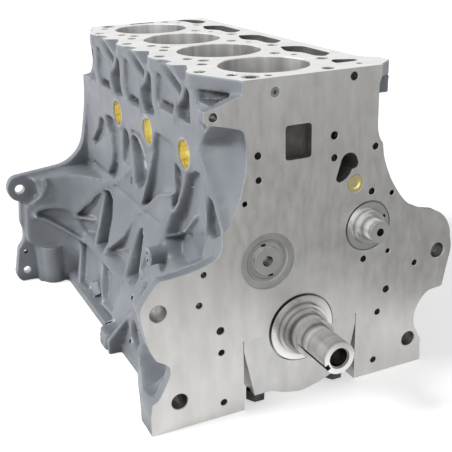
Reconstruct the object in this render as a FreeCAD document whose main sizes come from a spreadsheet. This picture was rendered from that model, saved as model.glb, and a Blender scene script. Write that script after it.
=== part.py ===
# Four-cylinder engine block with its crankshaft, camshaft and auxiliary shaft.
# The origin is on the crankshaft axis, in the plane of the machined front face.
# X points to the right seen from the front, Y to the rear and Z up, in millimetres.
import FreeCAD, Part
import math
import os
import re

from FreeCAD import Placement, Rotation, Vector

os.makedirs("parts", exist_ok=True)
document = FreeCAD.newDocument("engine_block")

# Driving dimensions
SIZES = [
    ("bore_diameter", 92.0, "cylinder bore"),
    ("bore_pitch", 105.45, "from one cylinder axis to the next"),
    ("bore_row_offset", -6.3, "cylinder axes from the crankshaft axis, to the right"),
    ("bore_bottom_height", 106.0, "lower end of the cylinders above the crankshaft axis"),
    ("bore_wall", 5.0, "iron between a cylinder and the water"),
    ("jacket_width", 7.0, "width of the water jacket"),
    ("jacket_bottom_height", 150.0, "floor of the water jacket"),
    ("deck_height", 262.0, "machined top face above the crankshaft axis"),
    ("deck_thickness", 14.0, "top slab over the water jacket"),
    ("rail_drop", 80.0, "machined oil pan face below the crankshaft axis"),
    ("rail_thickness", 9.0, "oil pan flange"),
    ("rail_bolt_pitch", 54.0, "spacing of the oil pan bolts"),
    ("rail_bolt_offset", 125.0, "oil pan bolt rows from the crankshaft axis"),
    ("rail_bolt_diameter", 8.4, "holes for the oil pan bolts"),
    ("front_plate_thickness", 14.0, "front flange that carries the timing case"),
    ("front_mount_diameter", 17.0, "four large holes in the front flange"),
    ("front_boss_reach", 34.0, "rear ends of the bosses round the four large holes"),
    ("front_plug_diameter", 18.0, "brass plug in the front face"),
    ("front_plug_right", 62.0, "brass plug in the front face, to the right of the crankshaft axis"),
    ("front_plug_height", 145.5, "brass plug in the front face, above the crankshaft axis"),
    ("screw_plug_diameter", 9.0, "screw plug in the front face"),
    ("screw_plug_left", 29.0, "screw plug in the front face, to the left of the crankshaft axis"),
    ("screw_plug_below_deck", 14.0, "screw plug in the front face"),
    ("gallery_diameter", 12.0, "oil gallery in the left wall, closed at its rear by a plug"),
    ("gallery_left", 66.0, "oil gallery to the left of the crankshaft axis"),
    ("gallery_height", 122.0, "oil gallery above the crankshaft axis"),
    ("rear_flange_thickness", 12.0, "rear flange that carries the gearbox"),
    ("rear_mount_diameter", 13.0, "holes in the rear flange's upper ears"),
    ("rear_low_mount_diameter", 10.0, "holes in the rear flange's lower corners"),
    ("upper_recess", 12.0, "depth of the pockets below the deck on the left wall"),
    ("lower_recess", 8.0, "depth of the pockets on the middle of the left wall"),
    ("rail_recess", 18.0, "depth of the pockets beside the oil pan flange"),
    ("crankcase_wall", 7.0, "skirt wall inside the pockets"),
    ("main_web_thickness", 26.95, "bulkhead and cap at each main bearing"),
    ("main_bore_diameter", 76.0, "housing for the main bearing shells"),
    ("main_journal_diameter", 72.0, "crankshaft main journal"),
    ("shell_setback", 2.5, "bearing shell edge inside the bulkhead face"),
    ("cap_half_width", 66.4, "main cap from its centre to its register"),
    ("cap_side_gap", 0.6, "between the cap's register and the slot in the block"),
    ("cap_foot_drop", 66.0, "seat of a cap bolt below the crankshaft axis"),
    ("cap_keel_drop", 76.0, "lowest point of a cap"),
    ("cap_bolt_offset", 47.5, "cap bolts from the crankshaft axis"),
    ("cap_bolt_diameter", 12.0, "cap bolt shank"),
    ("cap_bolt_head_across_flats", 19.0, "cap bolt head"),
    ("cap_bolt_head_height", 11.0, "cap bolt head"),
    ("cap_bolt_reach", 45.0, "cap bolt end above the crankshaft axis"),
    ("throw_radius", 44.5, "half the stroke"),
    ("crankpin_diameter", 50.0, "big end journal"),
    ("counterweight_radius", 69.0, "outer edge of the balance weights"),
    ("crank_web_thickness", 18.0, "each crank cheek"),
    ("thrust_washer_thickness", 2.3, "half washers beside the middle main bearing"),
    ("thrust_washer_diameter", 92.0, "outer edge of the half washers"),
    ("nose_diameter", 33.2, "front end of the crankshaft"),
    ("nose_length", 73.0, "crankshaft tip in front of the front face"),
    ("nose_shoulder", 30.0, "start of the nose in front of the front face"),
    ("nose_thread_diameter", 20.0, "hole in the nose for the pulley bolt"),
    ("crank_flange_diameter", 92.0, "flange for the flywheel"),
    ("crank_flange_thickness", 13.0, "flange for the flywheel"),
    ("crank_flange_gap", 2.5, "between the rear face and the flange"),
    ("flywheel_bolt_circle", 68.0, "pitch circle of the flywheel bolts"),
    ("flywheel_bolt_diameter", 9.0, "tapped holes for the flywheel bolts"),
    ("pilot_bush_bore", 15.0, "hole for the gearbox shaft's spigot"),
    ("pilot_bush_diameter", 24.0, "outside of the pilot bush"),
    ("pilot_bush_length", 18.0, "pilot bush"),
    ("camshaft_right", 79.1, "camshaft axis to the right of the crankshaft axis"),
    ("camshaft_height", 97.0, "camshaft axis above the crankshaft axis"),
    ("camshaft_journal_diameter", 51.0, "camshaft journals"),
    ("camshaft_bush_wall", 1.4, "camshaft bush"),
    ("camshaft_nose_diameter", 23.0, "camshaft front end"),
    ("camshaft_nose_length", 21.0, "camshaft tip in front of the front face"),
    ("cam_base_radius", 17.0, "cam lobe base circle"),
    ("cam_lift", 7.5, "cam lobe lift"),
    ("cam_lobe_width", 16.0, "cam lobe along the camshaft"),
    ("auxiliary_left", 38.1, "auxiliary shaft axis to the left of the crankshaft axis"),
    ("auxiliary_height", 81.5, "auxiliary shaft axis above the crankshaft axis"),
    ("auxiliary_journal_diameter", 39.0, "auxiliary shaft front journal"),
    ("auxiliary_shaft_diameter", 21.0, "auxiliary shaft behind its front journal"),
    ("auxiliary_bush_wall", 2.5, "auxiliary shaft bushes"),
    ("auxiliary_recess_diameter", 59.4, "shallow face cut around the auxiliary shaft"),
    ("auxiliary_recess_depth", 1.5, "shallow face cut around the auxiliary shaft"),
    ("core_plug_diameter", 31.0, "brass cup plugs in the water jacket"),
    ("core_plug_depth", 9.0, "brass cup plugs in the water jacket"),
    ("core_plug_wall", 1.5, "brass cup plugs in the water jacket"),
    ("core_plug_height", 175.5, "row of core plugs on the left wall"),
    ("core_plug_lag", 25.3, "each core plug behind its cylinder axis"),
    ("core_plug_left", 83.2, "mouths of the left core plugs from the crankshaft axis"),
    ("rear_core_plug_height", 200.0, "core plug in the rear face"),
    ("head_bolt_diameter", 11.0, "tapped holes for the head bolts"),
    ("head_bolt_side", 41.3, "inner head bolts from the cylinder row"),
    ("head_bolt_depth", 70.0, "tapped depth of the head bolt holes"),
    ("dowel_diameter", 16.0, "hollow dowels that place the cylinder head"),
    ("dowel_length", 11.6, "hollow dowels that place the cylinder head"),
    ("window_depth", 122.0, "tappet chest below the deck"),
    ("tappet_diameter", 16.0, "bores for the tappets, from the chest down to the camshaft"),
    ("tappet_offset", 5.0, "tappet bores to the left of the camshaft axis"),
    ("running_clearance", 0.04, "radial gap of a shaft in its bearing"),
    ("seat_clearance", 0.02, "radial gap of a pressed piece in its seat"),
    ("bolt_clearance", 0.3, "radial gap of a bolt in its hole"),
]
sheet = document.addObject("Spreadsheet::Sheet", "Sizes")
for row, (alias, value, meaning) in enumerate(SIZES, start=1):
    sheet.set(f"A{row}", meaning)
    sheet.set(f"B{row}", str(value))
    sheet.setAlias(f"B{row}", alias)
document.recompute()
ALIASES = {alias for alias, value, meaning in SIZES}


def size(alias):
    return float(sheet.get(alias))


def formula(text):
    """Write a sum of sheet names as an expression of the document."""
    return re.sub(r"[a-z]\w*", lambda word: "Sizes." + word[0] if word[0] in ALIASES else word[0], str(text))


def bind(item, formulas):
    for name, text in formulas.items():
        item.setExpression(name, formula(text))


# Values that several pieces share
CYLINDERS = range(4)
MAINS = range(5)
BLOCK_LENGTH = "(4 * bore_pitch + main_web_thickness)"
block_length = 4 * size("bore_pitch") + size("main_web_thickness")
deck = size("deck_height")
rail = -size("rail_drop")
row_x = size("bore_row_offset")
web = size("main_web_thickness")


def main_y(index):
    return f"({index} * bore_pitch + main_web_thickness / 2)"


def main_place(index):
    return index * size("bore_pitch") + web / 2


def cylinder_y(index):
    return f"({index + 0.5} * bore_pitch + main_web_thickness / 2)"


def cylinder_place(index):
    return (index + 0.5) * size("bore_pitch") + web / 2


# Document objects that the pieces are made with
ALONG = {"x": Rotation(Vector(0, 1, 0), 90), "y": Rotation(Vector(1, 0, 0), -90), "z": Rotation()}
made = {}


def add(kind, name):
    return document.addObject(kind, name)


def place(item, start, turn=Rotation()):
    item.Placement = Placement(Vector(), turn)
    bind(item, {"Placement.Base.x": start[0], "Placement.Base.y": start[1], "Placement.Base.z": start[2]})


def rod(name, radius, start, axis, length):
    item = add("Part::Cylinder", name)
    place(item, start, ALONG[axis])
    bind(item, {"Radius": radius, "Height": length})
    return item


def brick(name, corner, sides):
    item = add("Part::Box", name)
    place(item, corner)
    bind(item, {"Length": sides[0], "Width": sides[1], "Height": sides[2]})
    return item


def joined(name, items):
    item = add("Part::MultiFuse", name)
    item.Shapes = list(items)
    return item


def cut(name, base, tools):
    item = add("Part::Cut", name)
    item.Base = base
    item.Tool = tools[0] if len(tools) == 1 else joined(name + "_tools", tools)
    return item


def edges_of(start, runs):
    """A run of one point is a line, of two an arc through the first, of more a smooth curve."""
    edges = []
    here = Vector(*start, 0)
    for run in runs:
        points = [here] + [Vector(*point, 0) for point in run]
        if len(points) == 2:
            edges.append(Part.LineSegment(*points))
        elif len(points) == 3:
            edges.append(Part.Arc(*points))
        else:
            curve = Part.BSplineCurve()
            curve.interpolate(points)
            edges.append(curve)
        here = points[-1]
    return edges


# Sketch planes: the two sketch axes follow X and Z, Y and Z or X and Y
FACING = {
    "xz": Rotation(Vector(1, 0, 0), 90),
    "yz": Rotation(Vector(1, 1, 1), 120),
    "xy": Rotation(),
}
OUTWARD = {"xz": Vector(0, 1, 0), "yz": Vector(1, 0, 0), "xy": Vector(0, 0, 1)}


def extrusion(name, plane, loops, start, length):
    """Closed loops drawn on a plane and drawn out along the axis across it."""
    sketch = add("Sketcher::SketchObject", name + "_sketch")
    for first, runs in loops:
        for edge in edges_of(first, runs):
            sketch.addGeometry(edge, False)
    offset = {"xz": (0, start, 0), "yz": (start, 0, 0), "xy": (0, 0, start)}[plane]
    place(sketch, offset, FACING[plane])
    item = add("Part::Extrusion", name)
    item.Base = sketch
    item.DirMode = "Custom"
    item.Dir = OUTWARD[plane]
    item.Solid = True
    bind(item, {"LengthFwd": length})
    return item


def polygon(points):
    return points[0], [[point] for point in points[1:] + points[:1]]


def keep(name, item):
    """Name a finished piece of the object."""
    item.Label = name
    made[name] = item
    return item


# Cylinder block: one iron casting, machined on its front, rear, top and bottom
def front_outline():
    right = [
        [(86, deck)],
        [(85, deck - 10), (80, deck - 17)],
        [(80, 207)],
        [(84, 195), (93, 184)],
        [(96, 166), (107, 140), (125, 116), (150, 102)],
        [(167, 98)],
        [(179, 88), (187, 65)],
        [(189, 51), (187, 40)],
        [(180, 7)],
        [(163, 6)],
        [(146, -14), (155, -52)],
        [(155, rail)],
    ]
    left = [
        [(-168, rail)],
        [(-168, -57)],
        [(-158, -40), (-146, -16), (-149, -5), (-160, 2)],
        [(-170, 32), (-173, 57)],
        [(-165, 70), (-152, 84)],
        [(-120, 87), (-94, 94), (-82, 102)],
        [(-67, 142), (-53, 182)],
        [(-57, 200), (-59, 214)],
        [(-66, 219), (-82, 223), (-100, 226)],
        [(-102, 232), (-99, 237)],
        [(-60, deck - 12)],
        [(-60, deck)],
    ]
    return (-60, deck), right + left


def rear_outline():
    left = [
        [(-205, -75), (-206, -62)],
        [(-200, -30)],
        [(-191, -17), (-194, 5)],
        [(-191, 37)],
        [(-206, 56), (-196, 73)],
        [(-135, 79)],
        [(-110, 90), (-94, 117)],
        [(-80, 190)],
        [(-68, 217), (-69, deck - 11)],
        [(-62, deck)],
    ]
    right = [
        [(90, deck)],
        [(96, 190)],
        [(106, 112), (135, 79)],
        [(196, 73)],
        [(206, 56), (191, 37)],
        [(194, 5)],
        [(191, -17), (200, -30)],
        [(206, -62)],
        [(205, -75), (200, rail)],
        [(-200, rail)],
    ]
    return (-200, rail), left + right


def wall_profile(inset_above, inset_below, inset_rail):
    """Outside of the casting between its flanges, with the left wall set in by three depths."""
    return polygon([
        (-86 + inset_above, deck),
        (-86 + inset_above, deck - 58),
        (-84 + inset_below, deck - 64),
        (-84 + inset_below, 150),
        (-90 + inset_below, 65),
        (-138 + inset_rail, rail + 8),
        (-140 + inset_rail, rail),
        (138, rail),
        (112, 40),
        (118, 75),
        (118, 118),
        (95, 150),
        (95, deck),
    ])


def deck_outline():
    """Top face: its left edge runs out to a point beside each cylinder."""
    points = [(-60, 0), (86, 0), (111, 20), (111, 38), (96, 52), (95, block_length), (-62, block_length)]
    for index in reversed(CYLINDERS):
        middle = cylinder_place(index)
        if index + 1 in CYLINDERS:
            points.append((-71, middle + 38))
        points += [(-86, middle + 6), (-88, middle - 3), (-86, middle - 10)]
        if index:
            points.append((-72, middle - 44))
    return polygon(points)


def rail_outline():
    """Oil pan face seen from above, with a foot on its left side."""
    return polygon([
        (-168, 0), (-168, 32), (-157, 67), (-141, 122), (-141, 178), (-150, 184), (-156, 192),
        (-156, 212), (-150, 222), (-141, 230), (-141, block_length),
        (141, block_length), (141, 110), (155, 40), (155, 0),
    ])


def upper_pockets():
    """Hollows between the V-shaped ribs that run down from the head bolt bosses."""
    shapes = []
    for index in CYLINDERS:
        tip = cylinder_place(index) - 3
        floor = (-52, -58, -62, -62)[index]
        shapes.append([(tip + 9, -17), (tip + 15, -16), (tip + 45, -43), (tip + 46, -54), (tip + 38, floor - 1),
                       (tip + 11, floor)])
        if index + 1 in CYLINDERS:
            floor = (-51, -65, -63)[index]
            shapes.append([(tip + 12, 0), (tip + 13, -12), (tip + 27, -31), (tip + 38, -26), (tip + 70, 0)])
            shapes.append([(tip + 53, floor), (tip + 53, -47), (tip + 62, -33), (tip + 82, -19), (tip + 97, -15),
                           (tip + 98, floor), (tip + 92, floor - 2)])
        else:
            shapes.append([(tip + 15, 0), (tip + 22, -18), (tip + 44, -35), (tip + 60, -30), (tip + 60, 0)])
    return [[(rear, deck + height) for rear, height in shape] for shape in shapes]


# Hollows cast in the left wall below the band of core plugs, as rear and height places
LOWER_POCKETS = [
    [(16, 155), (46, 145), (42, 134), (34, 118), (24, 104), (16, 104)],
    [(30, 99), (22, 96), (15, 80), (15, 66), (26, 58), (35, 59), (34, 80)],
    [(42, 148), (58, 161), (83, 156), (96, 129), (111, 112), (129, 98), (149, 64), (128, 60), (60, 86),
     (46, 98), (42, 120)],
    [(102, 140), (107, 151), (119, 156), (124, 149), (129, 106), (122, 108), (110, 120)],
    [(140, 173), (172, 177), (190, 136), (203, 113), (213, 95), (221, 82), (198, 92), (168, 112), (145, 122)],
    [(208, 136), (236, 155), (255, 156), (261, 149), (250, 125), (245, 101), (238, 97), (217, 109), (207, 122)],
    [(269, 118), (269, 147), (274, 156), (283, 159), (289, 153), (291, 140), (290, 118)],
    [(304, 155), (322, 159), (345, 161), (358, 158), (353, 147), (337, 138), (330, 120), (334, 104), (352, 85),
     (331, 85), (315, 98), (306, 118), (302, 136)],
    [(365, 147), (376, 152), (387, 149), (395, 134), (418, 114), (411, 112), (388, 122), (368, 134)],
    [(205, 49), (213, 53), (220, 51), (221, -7), (205, -9), (195, -4), (188, 8)],
    [(240, 46), (246, 51), (262, 28), (300, -2), (296, -8), (236, -8)],
    [(328, 56), (345, 61), (357, 60), (351, 30), (342, -6), (319, -9), (303, 8), (313, 36)],
    [(370, 55), (377, 57), (400, 38), (436, 11), (436, -6), (353, -8), (354, 14)],
    [(233, -20), (304, -20), (272, -53), (260, -59), (237, -55)],
    [(317, -23), (396, -21), (365, -67), (277, -67), (277, -58)],
    [(406, -27), (435, -30), (435, -67), (379, -67)],
    [(139, -54), (160, -43), (172, -39), (157, -60), (143, -61)],
    [(169, -56), (184, -41), (205, -68), (179, -68)],
]


def left_wall_relief():
    """The raised ribs and bands: the outer wall less the pockets cast in it."""
    outer = extrusion("left_outer_wall", "xz", [wall_profile(0, 0, 0)], 0, BLOCK_LENGTH)
    above = extrusion("upper_pockets", "yz", [polygon(shape) for shape in upper_pockets()], -200, 140)
    below = extrusion("lower_pockets", "yz", [polygon(shape) for shape in LOWER_POCKETS], -200, 140)
    return cut("left_wall_relief", outer, [above, below])


def corner_cuts(name, left_wall, front_end, rear_start):
    """Cut the casting's corners back to the edges of the front plate and the rear flange."""
    front = extrusion(name + "_left_corner", "xy",
                      [polygon([(-120, -1), (-58, -1), (-58, 8), (left_wall, front_end), (-120, front_end)])],
                      100, 200)
    rear = extrusion(name + "_rear_corner", "xy",
                     [polygon([(-120, rear_start), (left_wall, rear_start), (-66, block_length + 1),
                               (-120, block_length + 1)])], 200, 100)
    right = brick(name + "_right_corner", (86, -1, 150), (40, 15, 200))
    return [front, rear, right]


def right_rib(index):
    """Stiffening rib down the right wall, in line with a main bearing."""
    outline = polygon([(94, 205), (103, 160), (126, 120), (126, 70), (122, 40), (140, -60), (100, -60), (94, 100)])
    return extrusion(f"right_rib_{index + 1}", "xz", [outline], f"{main_y(index)} - 4", 8)


# Sweep of the left wall out to the rear flange, as right and distance ahead of the rear face
REAR_FLARE = [(-92, 97), (-100, 77), (-112, 59), (-128, 45), (-150, 34), (-170, 28), (-187, 25)]


def rear_flare():
    """The wall's sweep stops short of the flange's bolt ears."""
    sweep = [(right, block_length - ahead) for right, ahead in REAR_FLARE]
    outline = polygon(sweep + [(-187, block_length - 1), (-60, block_length - 1), (-60, sweep[0][1])])
    flare = extrusion("rear_flare_sweep", "xy", [outline], "-rail_drop", "rail_drop + 70")
    ears = [
        rod("upper_ear_clearance", 22, (-190, sweep[-1][1] - 30, 55), "y", 60),
        brick("lower_ear_clearance", (-217.5, sweep[-1][1] - 30, "-rail_drop - 1"), (40, 60, 54)),
    ]
    return cut("rear_flare", flare, ears)


def rear_flare_hollow():
    """Core hollow behind the sweep, open at the rear face."""
    wall = 9
    inside = [(right, block_length - ahead + wall) for right, ahead in REAR_FLARE[3:-1]]
    outline = polygon(inside + [(inside[-1][0], block_length + 1), (inside[0][0], block_length + 1)])
    return extrusion("rear_flare_hollow", "xy", [outline], -64, 108)


def casting():
    insets = (size("upper_recess"), size("lower_recess"), size("rail_recess"))
    core = extrusion("core_casting", "xz", [wall_profile(*insets)], 0, BLOCK_LENGTH)
    core = cut("trimmed_core", core, corner_cuts("core", -76, 40, 430))
    relief = cut("trimmed_relief", left_wall_relief(), corner_cuts("relief", -86, 58, 388))
    pieces = [
        core,
        relief,
        extrusion("front_plate", "xz", [front_outline()], 0, "front_plate_thickness"),
        extrusion("rear_flange", "xz", [rear_outline()], f"{BLOCK_LENGTH} - rear_flange_thickness",
                  "rear_flange_thickness"),
        extrusion("deck_slab", "xy", [deck_outline()], "deck_height - deck_thickness - 2", "deck_thickness + 2"),
        extrusion("pan_rail", "xy", [rail_outline()], "-rail_drop", "rail_thickness"),
        extrusion("front_foot", "xy", [polygon([(-110, 1), (-167, 1), (-167, 32), (-158, 58), (-147, 98),
                                                (-134, 122), (-110, 122)])], "-rail_drop", 36),
        extrusion("side_foot", "xy", [polygon([(-115, 176), (-141, 178), (-155, 190), (-155, 214), (-141, 228),
                                               (-115, 230)])], "-rail_drop", 20),
        rear_flare(),
        rod("starter_boss", 16, (-156.5, f"{BLOCK_LENGTH} - 25", "-rail_drop"), "z", 53),
        brick("right_lug", (94, 18, 229), (17, 16, 19)),
        rod("sensor_boss", 10, (-103, 175, 30), "x", 11),
    ]
    for number, (right, height) in enumerate(FRONT_MOUNTS, start=1):
        pieces.append(rod(f"front_mount_boss_{number}", "front_mount_diameter / 2 + 5.5", (right, 1, height), "y",
                          "front_boss_reach - 1"))
    pieces += [right_rib(index) for index in MAINS[1:4]]
    for index in CYLINDERS[:3]:
        pieces.append(rod(f"core_plug_boss_{index + 1}", "core_plug_diameter / 2 + 4",
                          (-85, f"{cylinder_y(index)} + core_plug_lag", "core_plug_height"), "x", 18))
    return joined("raw_casting", pieces)


def crankcase_bay(index):
    """Hollow under one cylinder, between two bulkheads."""
    wall = size("crankcase_wall")
    roof = size("bore_bottom_height")
    outline = polygon([
        (-137 + size("rail_recess") + wall, rail - 1), (-90 + size("lower_recess") + wall, 60), (-68, roof),
        (46, roof), (50, 62), (92, 56), (115, rail - 1),
    ])
    return extrusion(f"crankcase_bay_{index + 1}", "xz", [outline],
                     f"{main_y(index)} + main_web_thickness / 2", "bore_pitch - main_web_thickness")


def water_jacket():
    """Water space round the cylinders, open to the core plugs and the front inlet."""
    outer = []
    inner = []
    for index in CYLINDERS:
        start = ("bore_row_offset", cylinder_y(index), "jacket_bottom_height")
        height = "deck_height - deck_thickness - jacket_bottom_height"
        outer.append(rod(f"jacket_outside_{index + 1}", "bore_diameter / 2 + bore_wall + jacket_width",
                         start, "z", height))
        inner.append(rod(f"jacket_inside_{index + 1}", "bore_diameter / 2 + bore_wall", start, "z", height))
    return cut("water_jacket", joined("jacket_outsides", outer), inner)


def tappet_windows():
    """Openings in the deck to the right of the cylinders, down to the tappet chest."""
    loops = []
    for index in CYLINDERS:
        middle = cylinder_place(index)
        if index + 1 in CYLINDERS:
            shape = [(60, 87), (52, 64), (51, 54), (61, 39), (61, 14), (68, 6), (83, 19), (83, 74), (75, 82)]
        else:
            shape = [(55, 57), (52, 52), (60, 39), (61, 14), (68, 6), (82, 19), (82, 40), (68, 57)]
        loops.append(polygon([(right, middle + rear) for right, rear in shape]))
    loops.append(polygon([(56, 31), (57, 43), (64, 51), (84, 40), (82, 33), (76, 31)]))
    return extrusion("tappet_windows", "xy", loops, "deck_height - window_depth", "window_depth + 1")


def tappet_places(index):
    """Bores for the two tappets of a cylinder, in front of and behind its axis."""
    return (-25 if index == 0 else -30, 27)


def tappet_bores():
    bores = []
    for index in CYLINDERS:
        for number, rear in enumerate(tappet_places(index)):
            bores.append(rod(f"tappet_bore_{index + 1}_{number + 1}", "tappet_diameter / 2",
                             ("camshaft_right - tappet_offset", f"{cylinder_y(index)} + {rear}",
                              "camshaft_height + cam_base_radius"),
                             "z", "deck_height - window_depth - camshaft_height - cam_base_radius + 1"))
    return bores


# Small tapped holes in the front face, as right, height, radius
FRONT_HOLES = [
    (57, deck - 8, 4.0), (-92, deck - 30, 4.0), (-47.5, 190, 3.5), (-47, 166, 3.2), (-62, 145, 2.6),
    (36, 198.5, 4.0), (36.5, 176, 3.5), (84.5, 181, 3.5), (82, 134, 3.5), (107, 128.5, 2.6), (74.5, 61, 3.5),
    (105, 64, 2.6), (-107, 81.5, 3.0), (-113, 50.5, 3.2), (-91.5, 18, 4.0), (105, 19.5, 4.0), (-91, -6.5, 3.3),
    (95, -5.5, 3.5), (-90, -64, 3.5), (92, -63.5, 3.5), (141, 43, 3.3),
]
FRONT_MOUNTS = [(-155, 51.5), (171, 51.5), (-138, -49), (138, -49)]
REAR_MOUNTS = [
    (-189.5, 55, "rear"), (189.5, 55, "rear"), (-192, -64, "rear_low"), (192, -64, "rear_low"),
]


def bolt_holes():
    tools = []
    for number, (right, height, radius) in enumerate(FRONT_HOLES, start=1):
        tools.append(rod(f"front_hole_{number}", radius, (right, -1, height), "y", "front_plate_thickness"))
    for number, (right, height) in enumerate(FRONT_MOUNTS, start=1):
        tools.append(rod(f"front_mount_{number}", "front_mount_diameter / 2", (right, -1, height), "y",
                         "front_boss_reach + 2"))
    for number, (right, height, bolt) in enumerate(REAR_MOUNTS, start=1):
        tools.append(rod(f"rear_mount_{number}", f"{bolt}_mount_diameter / 2",
                         (right, f"{BLOCK_LENGTH} - rear_flange_thickness - 1", height),
                         "y", "rear_flange_thickness + 2"))
    for number in range(8):
        for side in (-1, 1):
            tools.append(rod(f"rail_bolt_{number}_{side + 1}", "rail_bolt_diameter / 2",
                             (f"{side} * rail_bolt_offset", f"18 + {number} * rail_bolt_pitch", "-rail_drop - 1"),
                             "z", "rail_thickness + 1"))
    for index in MAINS:
        for side in (-1, 1):
            tools.append(rod(f"head_bolt_{index}_{side + 1}", "head_bolt_diameter / 2",
                             (f"bore_row_offset + {side} * head_bolt_side", main_y(index),
                              "deck_height - head_bolt_depth"), "z", "head_bolt_depth + 1"))
            tools.append(rod(f"cap_bolt_hole_{index}_{side + 1}", "cap_bolt_diameter / 2 + bolt_clearance",
                             (f"{side} * cap_bolt_offset", main_y(index), -1), "z", "cap_bolt_reach + 4"))
    for index in CYLINDERS:
        for name, right in (("left", -76.7), ("right", 59.0)):
            tools.append(rod(f"outer_head_bolt_{name}_{index}", "head_bolt_diameter / 2",
                             (right, f"{cylinder_y(index)} - 3", "deck_height - 40"), "z", 41))
        for number, (right, rear, radius) in enumerate([(-58, -35, 5), (-58, 33, 5), (47, 33, 3)]):
            tools.append(rod(f"water_hole_{index}_{number}", radius,
                             (right, f"{cylinder_y(index)} + {rear}", "deck_height - deck_thickness - 10"),
                             "z", "deck_thickness + 11"))
    tools.append(rod("deck_oil_hole", 3.5, (-30, 11.7, "deck_height - 24"), "z", 25))
    tools.append(rod("deck_small_hole", 3.0, (74, 18, "deck_height - 24"), "z", 25))
    tools.append(brick("deck_rear_slot", (-15, f"{BLOCK_LENGTH} - 12", "deck_height - 26"), (35, 7, 27)))
    return tools


def cylinder_block():
    """Cored hollows come out of the casting first, then what is machined in it."""
    cored = cut("cored_casting", casting(), [water_jacket(), tappet_windows(), rear_flare_hollow()]
                + [crankcase_bay(index) for index in CYLINDERS])
    tools = []
    for index in CYLINDERS:
        tools.append(rod(f"bore_{index + 1}", "bore_diameter / 2",
                         ("bore_row_offset", cylinder_y(index), "bore_bottom_height - 1"),
                         "z", "deck_height - bore_bottom_height + 2"))
    for index in CYLINDERS[:3]:
        tools.append(rod(f"core_plug_hole_{index + 1}", "core_plug_diameter / 2 + seat_clearance",
                         (-90, f"{cylinder_y(index)} + core_plug_lag", "core_plug_height"), "x", 34))
    tools.append(rod("main_bore", "main_bore_diameter / 2", (0, -1, 0), "y", f"{BLOCK_LENGTH} + 2"))
    tools.append(brick("cap_slot", ("-cap_half_width - cap_side_gap", -1, "-rail_drop - 1"),
                       ("2 * (cap_half_width + cap_side_gap)", f"{BLOCK_LENGTH} + 2", "rail_drop + 1")))
    tools.append(rod("camshaft_tunnel",
                     "camshaft_journal_diameter / 2 + running_clearance + camshaft_bush_wall + seat_clearance",
                     ("camshaft_right", -1, "camshaft_height"), "y", f"{BLOCK_LENGTH} + 2"))
    tools.append(rod("auxiliary_recess", "auxiliary_recess_diameter / 2", ("-auxiliary_left", -1, "auxiliary_height"),
                     "y", "auxiliary_recess_depth + 1"))
    tools.append(rod("auxiliary_front_seat",
                     "auxiliary_journal_diameter / 2 + running_clearance + auxiliary_bush_wall + seat_clearance",
                     ("-auxiliary_left", -1, "auxiliary_height"), "y", "main_web_thickness + 3"))
    tools.append(rod("auxiliary_rear_seat",
                     "auxiliary_shaft_diameter / 2 + running_clearance + auxiliary_bush_wall + seat_clearance",
                     ("-auxiliary_left", f"{main_y(1)} - main_web_thickness / 2 - 1", "auxiliary_height"),
                     "y", "main_web_thickness + 2"))
    water_inlet = ((-14, 181), [[(6, 181)], [(8.8, 182.2), (10, 185)], [(10, 211)], [(8.8, 213.8), (6, 215)],
                                [(-14, 215)], [(-17.2, 213.8), (-18.5, 211)], [(-18.5, 185)], [(-17.2, 182.2),
                                                                                              (-14, 181)]])
    tools.append(extrusion("water_inlet", "xz", [water_inlet], -1, 12))
    kidney = ((39, 156), [[(39.5, 151.5), (44, 150)], [(51, 153.5), (57, 162)], [(63, 164), (63, 171)],
                          [(54, 179), (44.5, 173)], [(39, 156)]])
    tools.append(extrusion("chest_opening", "xz", [kidney], -1, 40))
    tools.append(rod("front_plug_hole", "front_plug_diameter / 2 + seat_clearance",
                     ("front_plug_right", -1, "front_plug_height"), "y", 21))
    tools.append(rod("front_screw_hole", "screw_plug_diameter / 2 + seat_clearance",
                     ("-screw_plug_left", -1, "deck_height - screw_plug_below_deck"), "y", 26))
    tools.append(rod("rear_core_plug_hole", "core_plug_diameter / 2 + seat_clearance",
                     ("bore_row_offset", f"{BLOCK_LENGTH} - 14", "rear_core_plug_height"), "y", 16))
    tools.append(rod("oil_gallery", "gallery_diameter / 2", ("-gallery_left", 60, "gallery_height"),
                     "y", BLOCK_LENGTH))
    for number, index in enumerate((0, 4)):
        tools.append(rod(f"deck_dowel_seat_{number}", "dowel_diameter / 2 + seat_clearance",
                         ("bore_row_offset - head_bolt_side", main_y(index), "deck_height - dowel_length - 0.4"),
                         "z", "dowel_length + 1.4"))
    bored = cut("bored_casting", cored, tools)
    return keep("cylinder_block", cut("block", bored, tappet_bores() + bolt_holes()))


# Main bearing caps: iron, one under each bulkhead, split from it at the crankshaft axis
def main_cap(index):
    half = size("cap_half_width")
    foot = -size("cap_foot_drop")
    keel = -size("cap_keel_drop")
    outline = ((-half, 0), [
        [(half, 0)], [(half, -12)], [(55, foot)], [(36, foot)], [(20, foot - 6), (0, keel)],
        [(-20, foot - 6), (-36, foot)], [(-55, foot)], [(-half, -12)], [(-half, 0)],
    ])
    body = extrusion(f"cap_body_{index + 1}", "xz", [outline], f"{main_y(index)} - main_web_thickness / 2",
                     "main_web_thickness")
    tools = [rod(f"cap_bore_{index + 1}", "main_bore_diameter / 2", (0, -1, 0), "y", f"{BLOCK_LENGTH} + 2")]
    for side in (-1, 1):
        tools.append(rod(f"cap_hole_{index + 1}_{side + 1}", "cap_bolt_diameter / 2 + bolt_clearance",
                         (f"{side} * cap_bolt_offset", main_y(index), "-cap_keel_drop - 5"), "z", "cap_keel_drop + 6"))
    return keep(f"main_cap_{index + 1}", cut(f"cap_{index + 1}", body, tools))


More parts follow.
